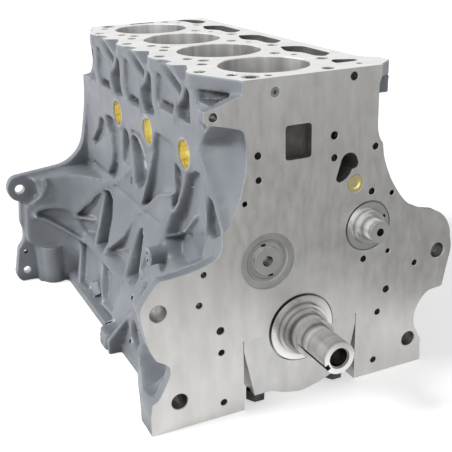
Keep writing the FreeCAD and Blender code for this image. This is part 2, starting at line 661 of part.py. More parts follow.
# Main cap bolts: ten steel hexagon bolts, screwed up into the bulkheads from below
def main_cap_bolts():
    bolts = []
    for index in MAINS:
        for side in (-1, 1):
            name = f"cap_bolt_{index + 1}_{side + 1}"
            shank = rod(name + "_shank", "cap_bolt_diameter / 2",
                        (f"{side} * cap_bolt_offset", main_y(index), "-cap_foot_drop - 1"),
                        "z", "cap_foot_drop + 1 + cap_bolt_reach")
            head = add("Part::Prism", name + "_head")
            head.Polygon = 6
            place(head, (f"{side} * cap_bolt_offset", main_y(index), "-cap_foot_drop - cap_bolt_head_height"))
            bind(head, {"Circumradius": "cap_bolt_head_across_flats / sqrt(3)", "Height": "cap_bolt_head_height"})
            bolts.append(joined(name, [shank, head]))
    group = add("Part::Compound", "cap_bolts")
    group.Links = bolts
    return keep("main_cap_bolts", group)


# Half rings: bearing shells and thrust washers, pressed from steel strip
def half_ring(name, inner, outer, start, length, upper):
    ring = rod(name + "_outside", outer, (0, start, 0), "y", length)
    hole = rod(name + "_inside", inner, (0, f"{start} - 1", 0), "y", f"{length} + 2")
    far = f"2 * ({outer})"
    other_half = brick(name + "_half", (f"-({outer}) - 1", f"{start} - 1", f"-({far})" if upper else 0),
                       (f"{far} + 2", f"{length} + 2", far))
    return cut(name + "_ring", ring, [hole, other_half])


def main_bearings(index):
    inner = "main_journal_diameter / 2 + running_clearance"
    outer = "main_bore_diameter / 2 - seat_clearance"
    start = f"{main_y(index)} - main_web_thickness / 2 + shell_setback"
    length = "main_web_thickness - 2 * shell_setback"
    for name, upper in (("upper", True), ("lower", False)):
        label = f"main_bearing_{name}_{index + 1}"
        keep(label, half_ring(label, inner, outer, f"({start})", f"({length})", upper))


def thrust_washers():
    rings = []
    for place_name, start in (
        ("front", f"({main_y(2)} - main_web_thickness / 2 - thrust_washer_thickness)"),
        ("rear", f"({main_y(2)} + main_web_thickness / 2)"),
    ):
        for upper in (True, False):
            rings.append(half_ring(f"washer_{place_name}_{int(upper)}", "main_bore_diameter / 2 + 1",
                                   "thrust_washer_diameter / 2", start, "thrust_washer_thickness", upper))
    group = add("Part::Compound", "washers")
    group.Links = rings
    return keep("thrust_washers", group)


# Crankshaft: one steel forging with four throws in one plane, ground and polished
def crank_web(name, start, up):
    pin = size("crankpin_diameter") / 2
    throw = size("throw_radius")
    weight = size("counterweight_radius")
    edge = 20
    side = math.sqrt(weight ** 2 - edge ** 2)
    outline = ((-pin, throw), [
        [(0, throw + pin), (pin, throw)], [(40, 0)], [(side, -edge)], [(0, -weight), (-side, -edge)], [(-40, 0)],
        [(-pin, throw)],
    ])
    item = extrusion(name, "xz", [outline], 0, "crank_web_thickness")
    turned = add("Part::Compound", name + "_turned")
    turned.Links = [item]
    place(turned, (0, start, 0), Rotation() if up else Rotation(Vector(0, 1, 0), 180))
    return turned


def crankshaft():
    pieces = []
    gap = "(thrust_washer_thickness + 0.1)"
    for index in CYLINDERS:
        up = index in (0, 3)
        front = f"({main_y(index)} + main_web_thickness / 2 + {gap})"
        rear = f"({main_y(index + 1)} - main_web_thickness / 2 - {gap} - crank_web_thickness)"
        pieces.append(crank_web(f"web_front_{index + 1}", front, up))
        pieces.append(crank_web(f"web_rear_{index + 1}", rear, up))
        pieces.append(rod(f"crankpin_{index + 1}", "crankpin_diameter / 2",
                          (0, front, "throw_radius" if up else "-throw_radius"), "y",
                          f"{rear} + crank_web_thickness - {front}"))
    for index in MAINS:
        start = f"({main_y(index)} - main_web_thickness / 2 - {gap} - 1)" if index else "-2"
        end = f"({main_y(index)} + main_web_thickness / 2 + {gap} + 1)"
        if index == 4:
            end = f"({BLOCK_LENGTH} + crank_flange_gap + 1)"
        pieces.append(rod(f"journal_{index + 1}", "main_journal_diameter / 2", (0, start, 0), "y", f"{end} - {start}"))
    for number, (radius, front) in enumerate([(27.5, 8), (24.5, 14), (21.0, "nose_shoulder")]):
        pieces.append(rod(f"front_step_{number}", radius, (0, f"-({front})", 0), "y", f"{front} + 1"))
    pieces.append(rod("nose", "nose_diameter / 2", (0, "-nose_length", 0), "y", "nose_length"))
    pieces.append(rod("flywheel_flange", "crank_flange_diameter / 2", (0, f"{BLOCK_LENGTH} + crank_flange_gap", 0),
                      "y", "crank_flange_thickness"))
    flange_end = f"({BLOCK_LENGTH} + crank_flange_gap + crank_flange_thickness)"
    tools = [
        rod("nose_thread", "nose_thread_diameter / 2", (0, "-nose_length - 1", 0), "y", 36),
        rod("nose_countersink", "nose_thread_diameter / 2 + 1.2", (0, "-nose_length - 1", 0), "y", 3),
        rod("pilot_seat", "pilot_bush_diameter / 2 + seat_clearance", (0, f"{flange_end} - pilot_bush_length - 4", 0),
            "y", "pilot_bush_length + 5"),
    ]
    keyway = brick("nose_key_seat", (-3, "-nose_length - 1", "nose_diameter / 2 - 4"),
                   (6, "nose_length - nose_shoulder + 1", 10))
    slot = add("Part::Compound", "nose_keyway")
    slot.Links = [keyway]
    slot.Placement = Placement(Vector(), Rotation(Vector(0, 1, 0), -118))
    tools.append(slot)
    for number in range(6):
        angle = math.radians(60 * number + 30)
        tools.append(rod(f"flywheel_bolt_{number + 1}", "flywheel_bolt_diameter / 2",
                         (f"flywheel_bolt_circle / 2 * {math.cos(angle):.9f}",
                          f"{BLOCK_LENGTH} + crank_flange_gap - 1",
                          f"flywheel_bolt_circle / 2 * {math.sin(angle):.9f}"), "y", "crank_flange_thickness + 2"))
    return keep("crankshaft", cut("crank", joined("crank_forging", pieces), tools))


def tube(name, label, inner, outer, start, length):
    outside = rod(name + "_outside", outer, start, "y", length)
    inside = rod(name + "_inside", inner, (start[0], f"{start[1]} - 1", start[2]), "y", f"{length} + 2")
    return keep(label, cut(name, outside, [inside]))


# Pilot bush: bronze, pressed in the rear end of the crankshaft for the gearbox shaft
def pilot_bush():
    flange_end = f"({BLOCK_LENGTH} + crank_flange_gap + crank_flange_thickness)"
    tube("pilot", "pilot_bush", "pilot_bush_bore / 2", "pilot_bush_diameter / 2",
         (0, f"{flange_end} - pilot_bush_length - 2", 0), "pilot_bush_length")


# Camshaft: chilled iron, with eight lobes between five journals, and its bushes
def cam_lobe(name, start, angle):
    """Base circle and nose circle of a lobe, joined by two flat flanks."""
    base = size("cam_base_radius")
    tip = 8.0
    reach = base + size("cam_lift") - tip
    lean = math.asin((base - tip) / reach)
    flank = Vector(math.cos(lean), math.sin(lean), 0)
    low = flank * base
    high = Vector(0, reach, 0) + flank * tip
    outline = ((-low.x, low.y), [
        [(-high.x, high.y)], [(0, reach + tip), (high.x, high.y)], [(low.x, low.y)], [(0, -base), (-low.x, low.y)],
    ])
    item = extrusion(name, "xz", [outline], 0, "cam_lobe_width")
    turned = add("Part::Compound", name + "_turned")
    turned.Links = [item]
    place(turned, ("camshaft_right", start, "camshaft_height"), Rotation(Vector(0, 1, 0), angle))
    return turned


def camshaft():
    centre = ("camshaft_right", "camshaft_height")
    pieces = [rod("cam_core", 15, (centre[0], 2, centre[1]), "y", f"{BLOCK_LENGTH} - 16")]
    for index in MAINS:
        front = f"({main_y(index)} - main_web_thickness / 2)"
        start = f"{front} + 1" if index else "0.5"
        length = "main_web_thickness - 2" if index < 4 else "main_web_thickness - core_plug_depth - 5"
        pieces.append(rod(f"cam_journal_{index + 1}", "camshaft_journal_diameter / 2",
                          (centre[0], start, centre[1]), "y", length))
    for order, index in enumerate((0, 2, 3, 1)):
        for number, rear in enumerate(tappet_places(index)):
            angle = 90 * order + 110 * number + 20
            start = f"{cylinder_y(index)} + {rear} - cam_lobe_width / 2"
            pieces.append(cam_lobe(f"lobe_{index + 1}_{number + 1}", start, angle))
    pieces.append(rod("cam_hub", 17.5, (centre[0], -5, centre[1]), "y", 8))
    pieces.append(rod("cam_nose", "camshaft_nose_diameter / 2", (centre[0], "-camshaft_nose_length", centre[1]),
                      "y", "camshaft_nose_length + 4"))
    tools = [
        rod("cam_nose_thread", 4.2, (centre[0], "-camshaft_nose_length - 1", centre[1]), "y", 26),
        rod("cam_dowel_hole", 2, ("camshaft_right + 19", -6, "camshaft_height + 7.5"), "y", 14),
    ]
    return keep("camshaft", cut("cam", joined("cam_casting", pieces), tools))


def camshaft_bushes():
    inner = "camshaft_journal_diameter / 2 + running_clearance"
    outer = "(camshaft_journal_diameter / 2 + running_clearance + camshaft_bush_wall)"
    for index in MAINS:
        front = f"{main_y(index)} - main_web_thickness / 2"
        length = "main_web_thickness - 4" if index < 4 else "main_web_thickness - core_plug_depth - 5"
        tube(f"cam_bush_{index + 1}", f"camshaft_bush_{index + 1}", inner, outer,
             ("camshaft_right", f"({front} + shell_setback)", "camshaft_height"), f"({length})")


# Auxiliary shaft: a short steel shaft in the front wall and the second bulkhead, with its bushes
def auxiliary_shaft():
    centre = ("-auxiliary_left", "auxiliary_height")
    end = f"({main_y(1)} + main_web_thickness / 2)"
    pieces = [
        rod("auxiliary_journal", "auxiliary_journal_diameter / 2", (centre[0], 3, centre[1]), "y",
            "main_web_thickness - 3"),
        rod("auxiliary_boss", 14.5, (centre[0], 0.5, centre[1]), "y", 4),
        rod("auxiliary_body", "auxiliary_shaft_diameter / 2", (centre[0], 5, centre[1]), "y", f"{end} - 5"),
    ]
    tools = [
        rod("auxiliary_thread", 5.5, (centre[0], -1, centre[1]), "y", 24),
        brick("auxiliary_slot_upper", ("-auxiliary_left - 6", 2, "auxiliary_height + 15.5"), (5, 7, 2.5)),
        brick("auxiliary_slot_lower", ("-auxiliary_left + 2", 2, "auxiliary_height - 17.5"), (5, 7, 2.5)),
    ]
    return keep("auxiliary_shaft", cut("auxiliary", joined("auxiliary_blank", pieces), tools))


def auxiliary_bushes():
    for name, diameter, front, length in (
        ("front", "auxiliary_journal_diameter", "auxiliary_recess_depth + 0.5", "main_web_thickness - 3"),
        ("rear", "auxiliary_shaft_diameter", f"{main_y(1)} - main_web_thickness / 2 + 1", "main_web_thickness - 2"),
    ):
        inner = f"{diameter} / 2 + running_clearance"
        tube(f"auxiliary_{name}", f"auxiliary_bush_{name}", inner, f"({inner} + auxiliary_bush_wall)",
             ("-auxiliary_left", f"({front})", "auxiliary_height"), f"({length})")


# Cup plugs: pressed brass, driven in to close the casting's core holes
def cup_plug(name, diameter, mouth, axis, inward):
    """A cup with its mouth outwards: its base is inward by the plug's depth."""
    outer = f"({diameter} / 2)"
    letter = "xyz".index(axis)
    start = list(mouth)
    hollow = list(mouth)
    if inward > 0:
        hollow[letter] = f"({mouth[letter]}) - 1"
    else:
        start[letter] = f"({mouth[letter]}) - core_plug_depth"
        hollow[letter] = f"({mouth[letter]}) - core_plug_depth + core_plug_wall"
    outside = rod(name + "_outside", outer, start, axis, "core_plug_depth")
    inside = rod(name + "_inside", f"{outer} - core_plug_wall", hollow, axis,
                 "core_plug_depth - core_plug_wall + 1")
    return keep(name, cut(name + "_cup", outside, [inside]))


def core_plugs():
    for index in CYLINDERS[:3]:
        cup_plug(f"core_plug_left_{index + 1}", "core_plug_diameter",
                 ("-core_plug_left", f"{cylinder_y(index)} + core_plug_lag", "core_plug_height"), "x", 1)
    cup_plug("core_plug_rear", "core_plug_diameter",
             ("bore_row_offset", f"{BLOCK_LENGTH} - 1", "rear_core_plug_height"), "y", -1)
    tunnel = "2 * (camshaft_journal_diameter / 2 + running_clearance + camshaft_bush_wall)"
    cup_plug("camshaft_rear_plug", tunnel, ("camshaft_right", f"{BLOCK_LENGTH} - 1", "camshaft_height"), "y", -1)


# Screwed and driven plugs, and the two hollow dowels that place the cylinder head
def small_plugs():
    place_right, place_up = "front_plug_right", "front_plug_height"
    dish = rod("front_plug_dish", "front_plug_diameter / 2 - 3.5", (place_right, -1, place_up), "y", 3)
    body = rod("front_plug_body", "front_plug_diameter / 2", (place_right, 0.4, place_up), "y", 10)
    keep("front_brass_plug", cut("front_plug", body, [dish]))
    socket = add("Part::Prism", "screw_socket")
    socket.Polygon = 6
    place(socket, ("-screw_plug_left", 0, "deck_height - screw_plug_below_deck"), ALONG["y"])
    bind(socket, {"Circumradius": "screw_plug_diameter / 4", "Height": 5})
    screw = rod("screw_body", "screw_plug_diameter / 2", ("-screw_plug_left", 1.5, "deck_height - screw_plug_below_deck"),
                "y", 10)
    keep("front_screw_plug", cut("front_screw", screw, [socket]))
    keep("oil_gallery_plug", rod("gallery_plug", "gallery_diameter / 2 - seat_clearance",
                                 ("-gallery_left", f"{BLOCK_LENGTH} - 14", "gallery_height"), "y", 12))
    for name, index in (("front", 0), ("rear", 4)):
        start = ("bore_row_offset - head_bolt_side", main_y(index), "deck_height - dowel_length - 0.4")
        sleeve = rod(f"dowel_{name}_outside", "dowel_diameter / 2", start, "z", "dowel_length")
        hole = rod(f"dowel_{name}_inside", "head_bolt_diameter / 2", (start[0], start[1], f"{start[2]} - 1"), "z", 15)
        keep(f"deck_dowel_{name}", cut(f"dowel_{name}", sleeve, [hole]))


cylinder_block()
for index in MAINS:
    main_cap(index)
    main_bearings(index)
main_cap_bolts()
thrust_washers()
crankshaft()
pilot_bush()
camshaft()
camshaft_bushes()
auxiliary_shaft()
auxiliary_bushes()
core_plugs()
small_plugs()
document.recompute()

# Every object must have come out whole before anything is written
for item in document.Objects:
    if "Invalid" in item.State or "Error" in item.State:
        raise RuntimeError(f"{item.Label} failed: {item.State}")
for name, item in made.items():
    if item.Shape.isNull() or not item.Shape.isValid():
        raise RuntimeError(f"{name} has no valid shape")
    print(f"{name}: {len(item.Shape.Solids)} solids, {item.Shape.Volume / 1000:.1f} cm3")
for name, item in made.items():
    item.Shape.exportStep(os.path.join("parts", name + ".step"))
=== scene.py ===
# A four-cylinder engine block with its crankshaft and two side shafts, ready for its timing case.
# Places are in millimetres while a piece is made: X to the right seen from the front, Y to the rear, Z up.
# The origin is on the crankshaft axis in the plane of the front face.
import math

import bpy
import numpy as np
import openvdb
from mathutils import Matrix, Vector


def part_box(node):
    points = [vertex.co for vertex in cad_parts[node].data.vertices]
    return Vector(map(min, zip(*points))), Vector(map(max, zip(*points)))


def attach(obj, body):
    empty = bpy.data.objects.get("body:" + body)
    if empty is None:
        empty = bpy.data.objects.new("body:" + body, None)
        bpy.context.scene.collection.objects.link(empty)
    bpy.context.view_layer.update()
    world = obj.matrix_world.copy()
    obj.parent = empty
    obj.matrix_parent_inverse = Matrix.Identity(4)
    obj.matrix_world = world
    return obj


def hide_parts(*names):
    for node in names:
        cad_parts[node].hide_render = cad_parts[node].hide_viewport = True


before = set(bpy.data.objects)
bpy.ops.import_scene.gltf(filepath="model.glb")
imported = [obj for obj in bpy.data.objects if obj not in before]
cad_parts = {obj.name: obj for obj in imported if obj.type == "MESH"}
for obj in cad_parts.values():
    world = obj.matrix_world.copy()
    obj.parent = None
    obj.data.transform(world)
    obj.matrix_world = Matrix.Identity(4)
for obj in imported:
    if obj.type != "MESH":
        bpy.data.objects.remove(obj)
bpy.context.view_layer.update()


# Studio
# The camera stands where the photograph was taken, before the block's left front corner. The floor is
# pale and fills the picture, the surroundings are even, and the main light comes from the upper left.
METRES = 0.001
scene = bpy.context.scene
camera_data = bpy.data.cameras.new("camera")
camera_data.lens = 66.34
camera_data.clip_end = 20
camera = bpy.data.objects.new("camera", camera_data)
camera.location = (-0.389909, -0.664917, 0.406236)
camera.rotation_euler = [math.radians(angle) for angle in (69.13602, 1.48030, -25.37405)]
scene.collection.objects.link(camera)
scene.camera = camera
scene.view_settings.view_transform = "Standard"


def shader(material, kind, **values):
    """Add a node and set its inputs; a value that is a socket is linked."""
    node = material.node_tree.nodes.new("ShaderNode" + kind)
    for name, value in values.items():
        socket = node.inputs[name.replace("_", " ")] if name.replace("_", " ") in node.inputs else None
        if socket is None:
            setattr(node, name, value)
        elif isinstance(value, bpy.types.NodeSocket):
            material.node_tree.links.new(value, socket)
        else:
            socket.default_value = value
    return node


def seen_ray(owner):
    """One for rays that show the background: camera, glossy and transmission."""
    path = shader(owner, "LightPath")
    either = shader(owner, "Math", operation="MAXIMUM")
    owner.node_tree.links.new(path.outputs["Is Camera Ray"], either.inputs[0])
    owner.node_tree.links.new(path.outputs["Is Glossy Ray"], either.inputs[1])
    both = shader(owner, "Math", operation="MAXIMUM")
    owner.node_tree.links.new(either.outputs[0], both.inputs[0])
    owner.node_tree.links.new(path.outputs["Is Transmission Ray"], both.inputs[1])
    return both.outputs[0]


def scaled(owner, value, factor, offset):
    node = shader(owner, "Math", operation="MULTIPLY_ADD")
    owner.node_tree.links.new(value, node.inputs[0])
    node.inputs[1].default_value = factor
    node.inputs[2].default_value = offset
    return node.outputs[0]


world = bpy.data.worlds.new("studio")
world.use_nodes = True
AMBIENT = 0.30
background = world.node_tree.nodes["Background"]
background.inputs["Color"].default_value = (1, 1, 1, 1)
world.node_tree.links.new(scaled(world, seen_ray(world), 1 - AMBIENT, AMBIENT), background.inputs["Strength"])
scene.world = world

floor_mesh = bpy.data.meshes.new("floor")
floor_mesh.from_pydata([(-8, -8, 0), (8, -8, 0), (8, 8, 0), (-8, 8, 0)], [], [(0, 1, 2, 3)])
floor = bpy.data.objects.new("floor", floor_mesh)
floor.location.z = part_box("cylinder_block")[0].z - 0.0005
scene.collection.objects.link(floor)
floor_paint = bpy.data.materials.new("floor")
floor_paint.use_nodes = True
floor_surface = floor_paint.node_tree.nodes["Principled BSDF"]
floor_surface.inputs["Base Color"].default_value = (0.8, 0.8, 0.8, 1)
floor_surface.inputs["Roughness"].default_value = 0.9
floor_surface.inputs["Specular IOR Level"].default_value = 0.0
floor_surface.inputs["Emission Color"].default_value = (1, 1, 1, 1)
floor_paint.node_tree.links.new(scaled(floor_paint, seen_ray(floor_paint), 0.55, 0),
                                floor_surface.inputs["Emission Strength"])
floor_mesh.materials.append(floor_paint)

# The main light comes from the upper left, a little from behind, and a weak one from the front
for name, energy, spread_angle, travel in (("key_light", 2.5, 16, (0.86, -0.16, -0.62)),
                                           ("fill_light", 0.3, 60, (0.25, 0.93, -0.25))):
    lamp = bpy.data.lights.new(name, "SUN")
    lamp.energy = energy
    lamp.angle = math.radians(spread_angle)
    light = bpy.data.objects.new(name, lamp)
    light.rotation_euler = Vector(travel).to_track_quat("-Z", "Y").to_euler()
    scene.collection.objects.link(light)

# A grey card lies on the floor in front, where only shiny faces see it: it tones the machined front down
# towards its top and right
card_mesh = bpy.data.meshes.new("grey_card")
card_mesh.from_pydata([(-0.6, -0.7, 0), (0.3, -0.06, 0), (3, -0.06, 0), (3, -3, 0), (-0.6, -3, 0)], [],
                      [(0, 1, 2, 3, 4)])
card = bpy.data.objects.new("grey_card", card_mesh)
card.location.z = floor.location.z + 0.004
card.visible_camera = False
card.visible_diffuse = False
card.visible_transmission = False
card.visible_shadow = False
scene.collection.objects.link(card)
card_paint = bpy.data.materials.new("grey_card")
card_paint.use_nodes = True
card_surface = card_paint.node_tree.nodes["Principled BSDF"]
card_surface.inputs["Base Color"].default_value = (0.05, 0.05, 0.05, 1)
card_surface.inputs["Roughness"].default_value = 0.9
card_surface.inputs["Specular IOR Level"].default_value = 0.0
card_surface.inputs["Emission Color"].default_value = (1, 1, 1, 1)
card_surface.inputs["Emission Strength"].default_value = 0.3
card_mesh.materials.append(card_paint)


# Raw casting of the cylinder block
# The real one is grey iron poured in a sand mould: the walls have draft, the inner corners are round
# and thin ribs run over the left wall. It is painted blue-grey before it is machined.
block_low, block_high = (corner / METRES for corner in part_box("cylinder_block"))
DECK = block_high.z
RAIL = block_low.z
LENGTH = block_high.y
MAIN_WEB = 26.95
PITCH = (LENGTH - MAIN_WEB) / 4
BORE_RADIUS = 46.0
ROW_X = -6.3
MAINS = [index * PITCH + MAIN_WEB / 2 for index in range(5)]
CYLINDERS = [(index + 0.5) * PITCH + MAIN_WEB / 2 for index in range(4)]
STOCK = 4.0
GRAIN = 1.35


def outline_points(start, runs):
    """Points round an outline: a run of one point is straight, of two an arc through the first."""
    points = [start]
    for run in runs:
        first = points[-1]
        if len(run) == 1:
            points.append(run[0])
        elif len(run) == 2:
            points += arc_points(first, *run)
        else:
            points += curve_points([first] + run)
    return points[:-1]


def arc_points(first, middle, last, steps=14):
    """The arc from the first point through the middle one to the last."""
    (ax, ay), (bx, by), (cx, cy) = first, middle, last
    twice = 2 * (ax * (by - cy) + bx * (cy - ay) + cx * (ay - by))
    a2, b2, c2 = ax * ax + ay * ay, bx * bx + by * by, cx * cx + cy * cy
    ux = (a2 * (by - cy) + b2 * (cy - ay) + c2 * (ay - by)) / twice
    uy = (a2 * (cx - bx) + b2 * (ax - cx) + c2 * (bx - ax)) / twice
    start = math.atan2(ay - uy, ax - ux)
    turn = (math.atan2(cy - uy, cx - ux) - start) % (2 * math.pi)
    passing = (math.atan2(by - uy, bx - ux) - start) % (2 * math.pi)
    if passing > turn:
        turn -= 2 * math.pi
    radius = math.hypot(ax - ux, ay - uy)
    angles = [start + turn * step / steps for step in range(1, steps + 1)]
    return [(ux + radius * math.cos(angle), uy + radius * math.sin(angle)) for angle in angles]


def curve_points(through, steps=8):
    """A smooth curve through the points, with its tangent at each along its neighbours."""
    places = [Vector(point) for point in through]
    places = [2 * places[0] - places[1]] + places + [2 * places[-1] - places[-2]]
    points = []
    for before, here, there, after in zip(places, places[1:], places[2:], places[3:]):
        for step in range(1, steps + 1):
            t = step / steps
            point = 0.5 * (2 * here + (there - before) * t
                           + (2 * before - 5 * here + 4 * there - after) * t ** 2
                           + (3 * here - before - 3 * there + after) * t ** 3)
            points.append((point.x, point.y))
    return points


def outline_distance(points, across, up):
    """Distance of a grid of places from a closed outline, negative inside it."""
    nearest = np.full(np.broadcast(across, up).shape, 1e9)
    inside = np.zeros(nearest.shape, bool)
    for (u0, v0), (u1, v1) in zip(points, points[1:] + points[:1]):
        du, dv = u1 - u0, v1 - v0
        if du == 0 and dv == 0:
            continue
        share = np.clip(((across - u0) * du + (up - v0) * dv) / (du * du + dv * dv), 0, 1)
        nearest = np.minimum(nearest, (across - u0 - share * du) ** 2 + (up - v0 - share * dv) ** 2)
        if dv:
            inside ^= ((v0 <= up) != (v1 <= up)) & (across < u0 + (up - v0) * du / dv)
    return np.where(inside, -1, 1) * np.sqrt(nearest)


def line_distance(points, across, up):
    """Distance of a grid of places from an open line of points."""
    nearest = np.full(np.broadcast(across, up).shape, 1e9)
    for (u0, v0), (u1, v1) in zip(points, points[1:]):
        du, dv = u1 - u0, v1 - v0
        share = np.clip(((across - u0) * du + (up - v0) * dv) / (du * du + dv * dv), 0, 1)
        nearest = np.minimum(nearest, (across - u0 - share * du) ** 2 + (up - v0 - share * dv) ** 2)
    return np.sqrt(nearest)


def grown_together(one, other, fillet):
    """Two solids joined with a round inner corner."""
    share = np.clip(0.5 + 0.5 * (other - one) / fillet, 0, 1)
    return other + (one - other) * share - fillet * share * (1 - share)


def cut_away(solid, tool, round_edge):
    return -grown_together(-solid, tool, round_edge)


def smoothed(height, passes):
    """Round the corners of a height map."""
    for _ in range(passes):
        padded = np.pad(height, 1, mode="edge")
        height = (padded[:-2, 1:-1] + 2 * height + padded[2:, 1:-1]) / 4
        padded = np.pad(height, 1, mode="edge")
        height = (padded[1:-1, :-2] + 2 * height + padded[1:-1, 2:]) / 4
    return height


# The casting is made form by form, as the distance of each cell of its space from the surface. The space
# is a little larger than the machined block, in cells of one grain, and has three planes: the wall seen
# from the left, the face seen from the front and the plan seen from above.
space_low = np.array([-212.0, -2 * STOCK, RAIL - 2 * STOCK])
space_high = np.array([212.0, LENGTH + 2 * STOCK, DECK + 2 * STOCK])
x, y, z = (np.arange(low, high + GRAIN, GRAIN) for low, high in zip(space_low, space_high))
wall_rear, wall_up = np.meshgrid(y, z, indexing="ij")
face_right, face_up = np.meshgrid(x, z, indexing="ij")
plan_right, plan_rear = np.meshgrid(x, y, indexing="ij")


def outside(places, start, end):
    """Distance outside a span, negative within it."""
    return np.abs(places - (start + end) / 2) - (end - start) / 2


def through_y(points, start, end, edge=1.5):
    """A solid with an outline seen from the front, between two places along the block."""
    flat = outline_distance(points, face_right, face_up)[:, None, :]
    return -grown_together(-flat, -outside(y, start, end)[None, :, None], edge)


def through_z(points, start, end, edge=1.5):
    """A solid with an outline seen from above, between two heights."""
    flat = outline_distance(points, plan_right, plan_rear)[:, :, None]
    return -grown_together(-flat, -outside(z, start, end)[None, None, :], edge)


def boss(centre, radius, axis, start, end, edge=2):
    """A round boss along an axis, its centre given in the other two."""
    grid = [x[:, None, None], y[None, :, None], z[None, None, :]]
    along = grid.pop(axis)
    round_wall = np.hypot(grid[0] - centre[0], grid[1] - centre[1]) - radius
    return -grown_together(-round_wall, -outside(along, start, end), edge)


# Left wall: its outer surface seen from the front, as height and place to the right
LEFT_WALL = [(-84, -140), (-72, -138), (65, -90), (150, -84), (200, -84), (210, -86), (268, -86)]

# Pockets in the left wall, each as its outline (rear, height), its depth, and the place where its
# floor runs out to the surface, if it slopes. Those beside the cylinders repeat from the boss that each
# bay carries under the deck.
CHEST_POCKETS = []
CHEST_RIDGES = []
for bay, middle in enumerate(CYLINDERS):
    tip = middle - 3
    foot = (211, 197, 199, 200)[bay]
    CHEST_POCKETS += [
        ([(tip + 15, 245), (tip + 8, 241), (tip + 8, foot), (tip + 38, foot - 2), (tip + 40, 221),
          (tip + 22, 233)], 10, None),
        ([(tip + 58, 268), (tip + 26, 251), (tip + 18, 251), (tip + 12, 262), (tip + 6, 268)],
         14, (tip + 4, 244)),
    ]
    if bay == 3:
        CHEST_POCKETS.append(
            ([(tip + 62, 268), (tip + 28, 249), (tip + 31, 236), (tip + 44, 226), (tip + 62, 232)],
             9, (tip + 8, 246)))
        break
    CHEST_POCKETS += [
        ([(tip + 93, 248), (tip + 80, 247), (tip + 50, 233), (tip + 43, 226), (tip + 54, foot),
          (tip + 92, foot), (tip + 98, 218)], 5, None),
        ([(tip + 94, foot + 8), (tip + 50, foot + 7), (tip + 54, foot), (tip + 92, foot)], 11, None),
        ([(tip + 90, 268), (tip + 68, 268), (tip + 64, 261), (tip + 25, 245), (tip + 31, 236),
          (tip + 50, 242), (tip + 87, 258)], 9, None),
    ]
    CHEST_RIDGES.append(([(tip + 66, 265), (tip + 23, 247)], 1.5, 3))
    CHEST_RIDGES.append(([(tip + 92, 254), (tip + 46, 234), (tip + 42, 224), (tip + 50, foot - 4)], 1.5, 3))
# The front corner's hollow starts at its slanting rib, which runs from the first point to the last
CORNER_HOLLOW = [(54, 191), (38, 206), (20, 219), (-12, 231), (-12, 100), (4, 120)]
WALL_POCKETS = [
    ([(36, 146), (24, 141), (12, 128), (4, 119), (20, 108), (33, 105), (36, 120)], 9, None),
    ([(57, 163), (66, 163), (85, 154), (90, 143), (97, 129), (114, 107), (128, 96), (143, 70), (103, 70),
      (44, 90), (39, 112), (39, 126), (46, 150)], 13, (28, 130)),
    ([(146, 64), (128, 80), (103, 86), (46, 104), (48, 76), (84, 56), (110, 43), (132, 46)], 19, (70, 132)),
    ([(258, 104), (262, 105), (264, 94), (260, 93)], 6, None),
    ([(47, 218), (30, 219), (38, 211)], 5, None),
    ([(53, 234), (52, 249), (36, 257), (14, 258), (-6, 256), (18, 244)], 4.5, None),
    ([(101, 140), (106, 152), (120, 158), (125, 150), (130, 105), (122, 106), (109, 120)], 9, None),
    ([(126, 176), (173, 179), (182, 156), (192, 136), (204, 113), (214, 95), (224, 79), (198, 90),
      (168, 110), (138, 119), (127, 124)], 10, (124, 160)),
    ([(207, 136), (236, 157), (256, 158), (262, 150), (251, 125), (246, 100), (238, 95), (216, 108),
      (206, 122)], 13, None),
    ([(208, 150), (228, 164), (259, 164), (259, 159), (236, 160), (212, 144)], 4, None),
    ([(268, 116), (268, 148), (273, 157), (283, 160), (290, 154), (292, 140), (291, 116)], 9, (280, 96)),
    ([(300, 157), (322, 161), (345, 163), (360, 160), (354, 147), (338, 138), (331, 120), (335, 104),
      (355, 83), (330, 83), (314, 97), (304, 118), (300, 136)], 9, (288, 128)),
    ([(362, 148), (376, 154), (388, 151), (396, 134), (421, 113), (412, 110), (388, 121), (366, 134)],
     7, None),
    ([(160, 77), (325, 77), (325, 73), (160, 73)], 2, None),
    ([(356, 86), (418, 86), (418, 81), (356, 81)], 3.5, None),
    ([(394, 68), (432, 68), (432, 64), (394, 64)], 2.5, None),
    ([(62, 56), (138, 54), (164, 46), (186, 38), (186, 16), (170, 8), (160, -26), (120, -46), (62, -46)], 5,
     (40, 20)),
    ([(204, 50), (213, 54), (221, 52), (222, -8), (204, -10), (194, -5), (187, 8)], 19, None),
    ([(234, 50), (246, 53), (262, 29), (302, -2), (297, -9), (233, -9)], 13, (248, 62)),
    ([(364, 60), (376, 59), (400, 39), (444, 5), (446, -7), (352, -9), (352, 14)], 13, (374, 72)),
    ([(232, -19), (306, -19), (270, -58), (236, -56)], 9, (216, -36)),
    ([(406, -26), (436, -30), (436, -68), (378, -68)], 15, None),
    ([(138, -54), (160, -42), (173, -38), (158, -60), (142, -62)], 12, None),
    ([(205, -70), (218, -62), (262, -62), (366, -70)], 8, None),
]
# Two slots that go through the rear flare's foot as well, so they are cut once the flare is on
FLARE_SLOTS = [([(327, 57), (345, 62), (358, 61), (352, 30), (343, -7), (318, -10), (302, 8), (312, 36)], 20),
               ([(316, -22), (398, -20), (366, -68), (276, -68), (276, -58)], 9)]
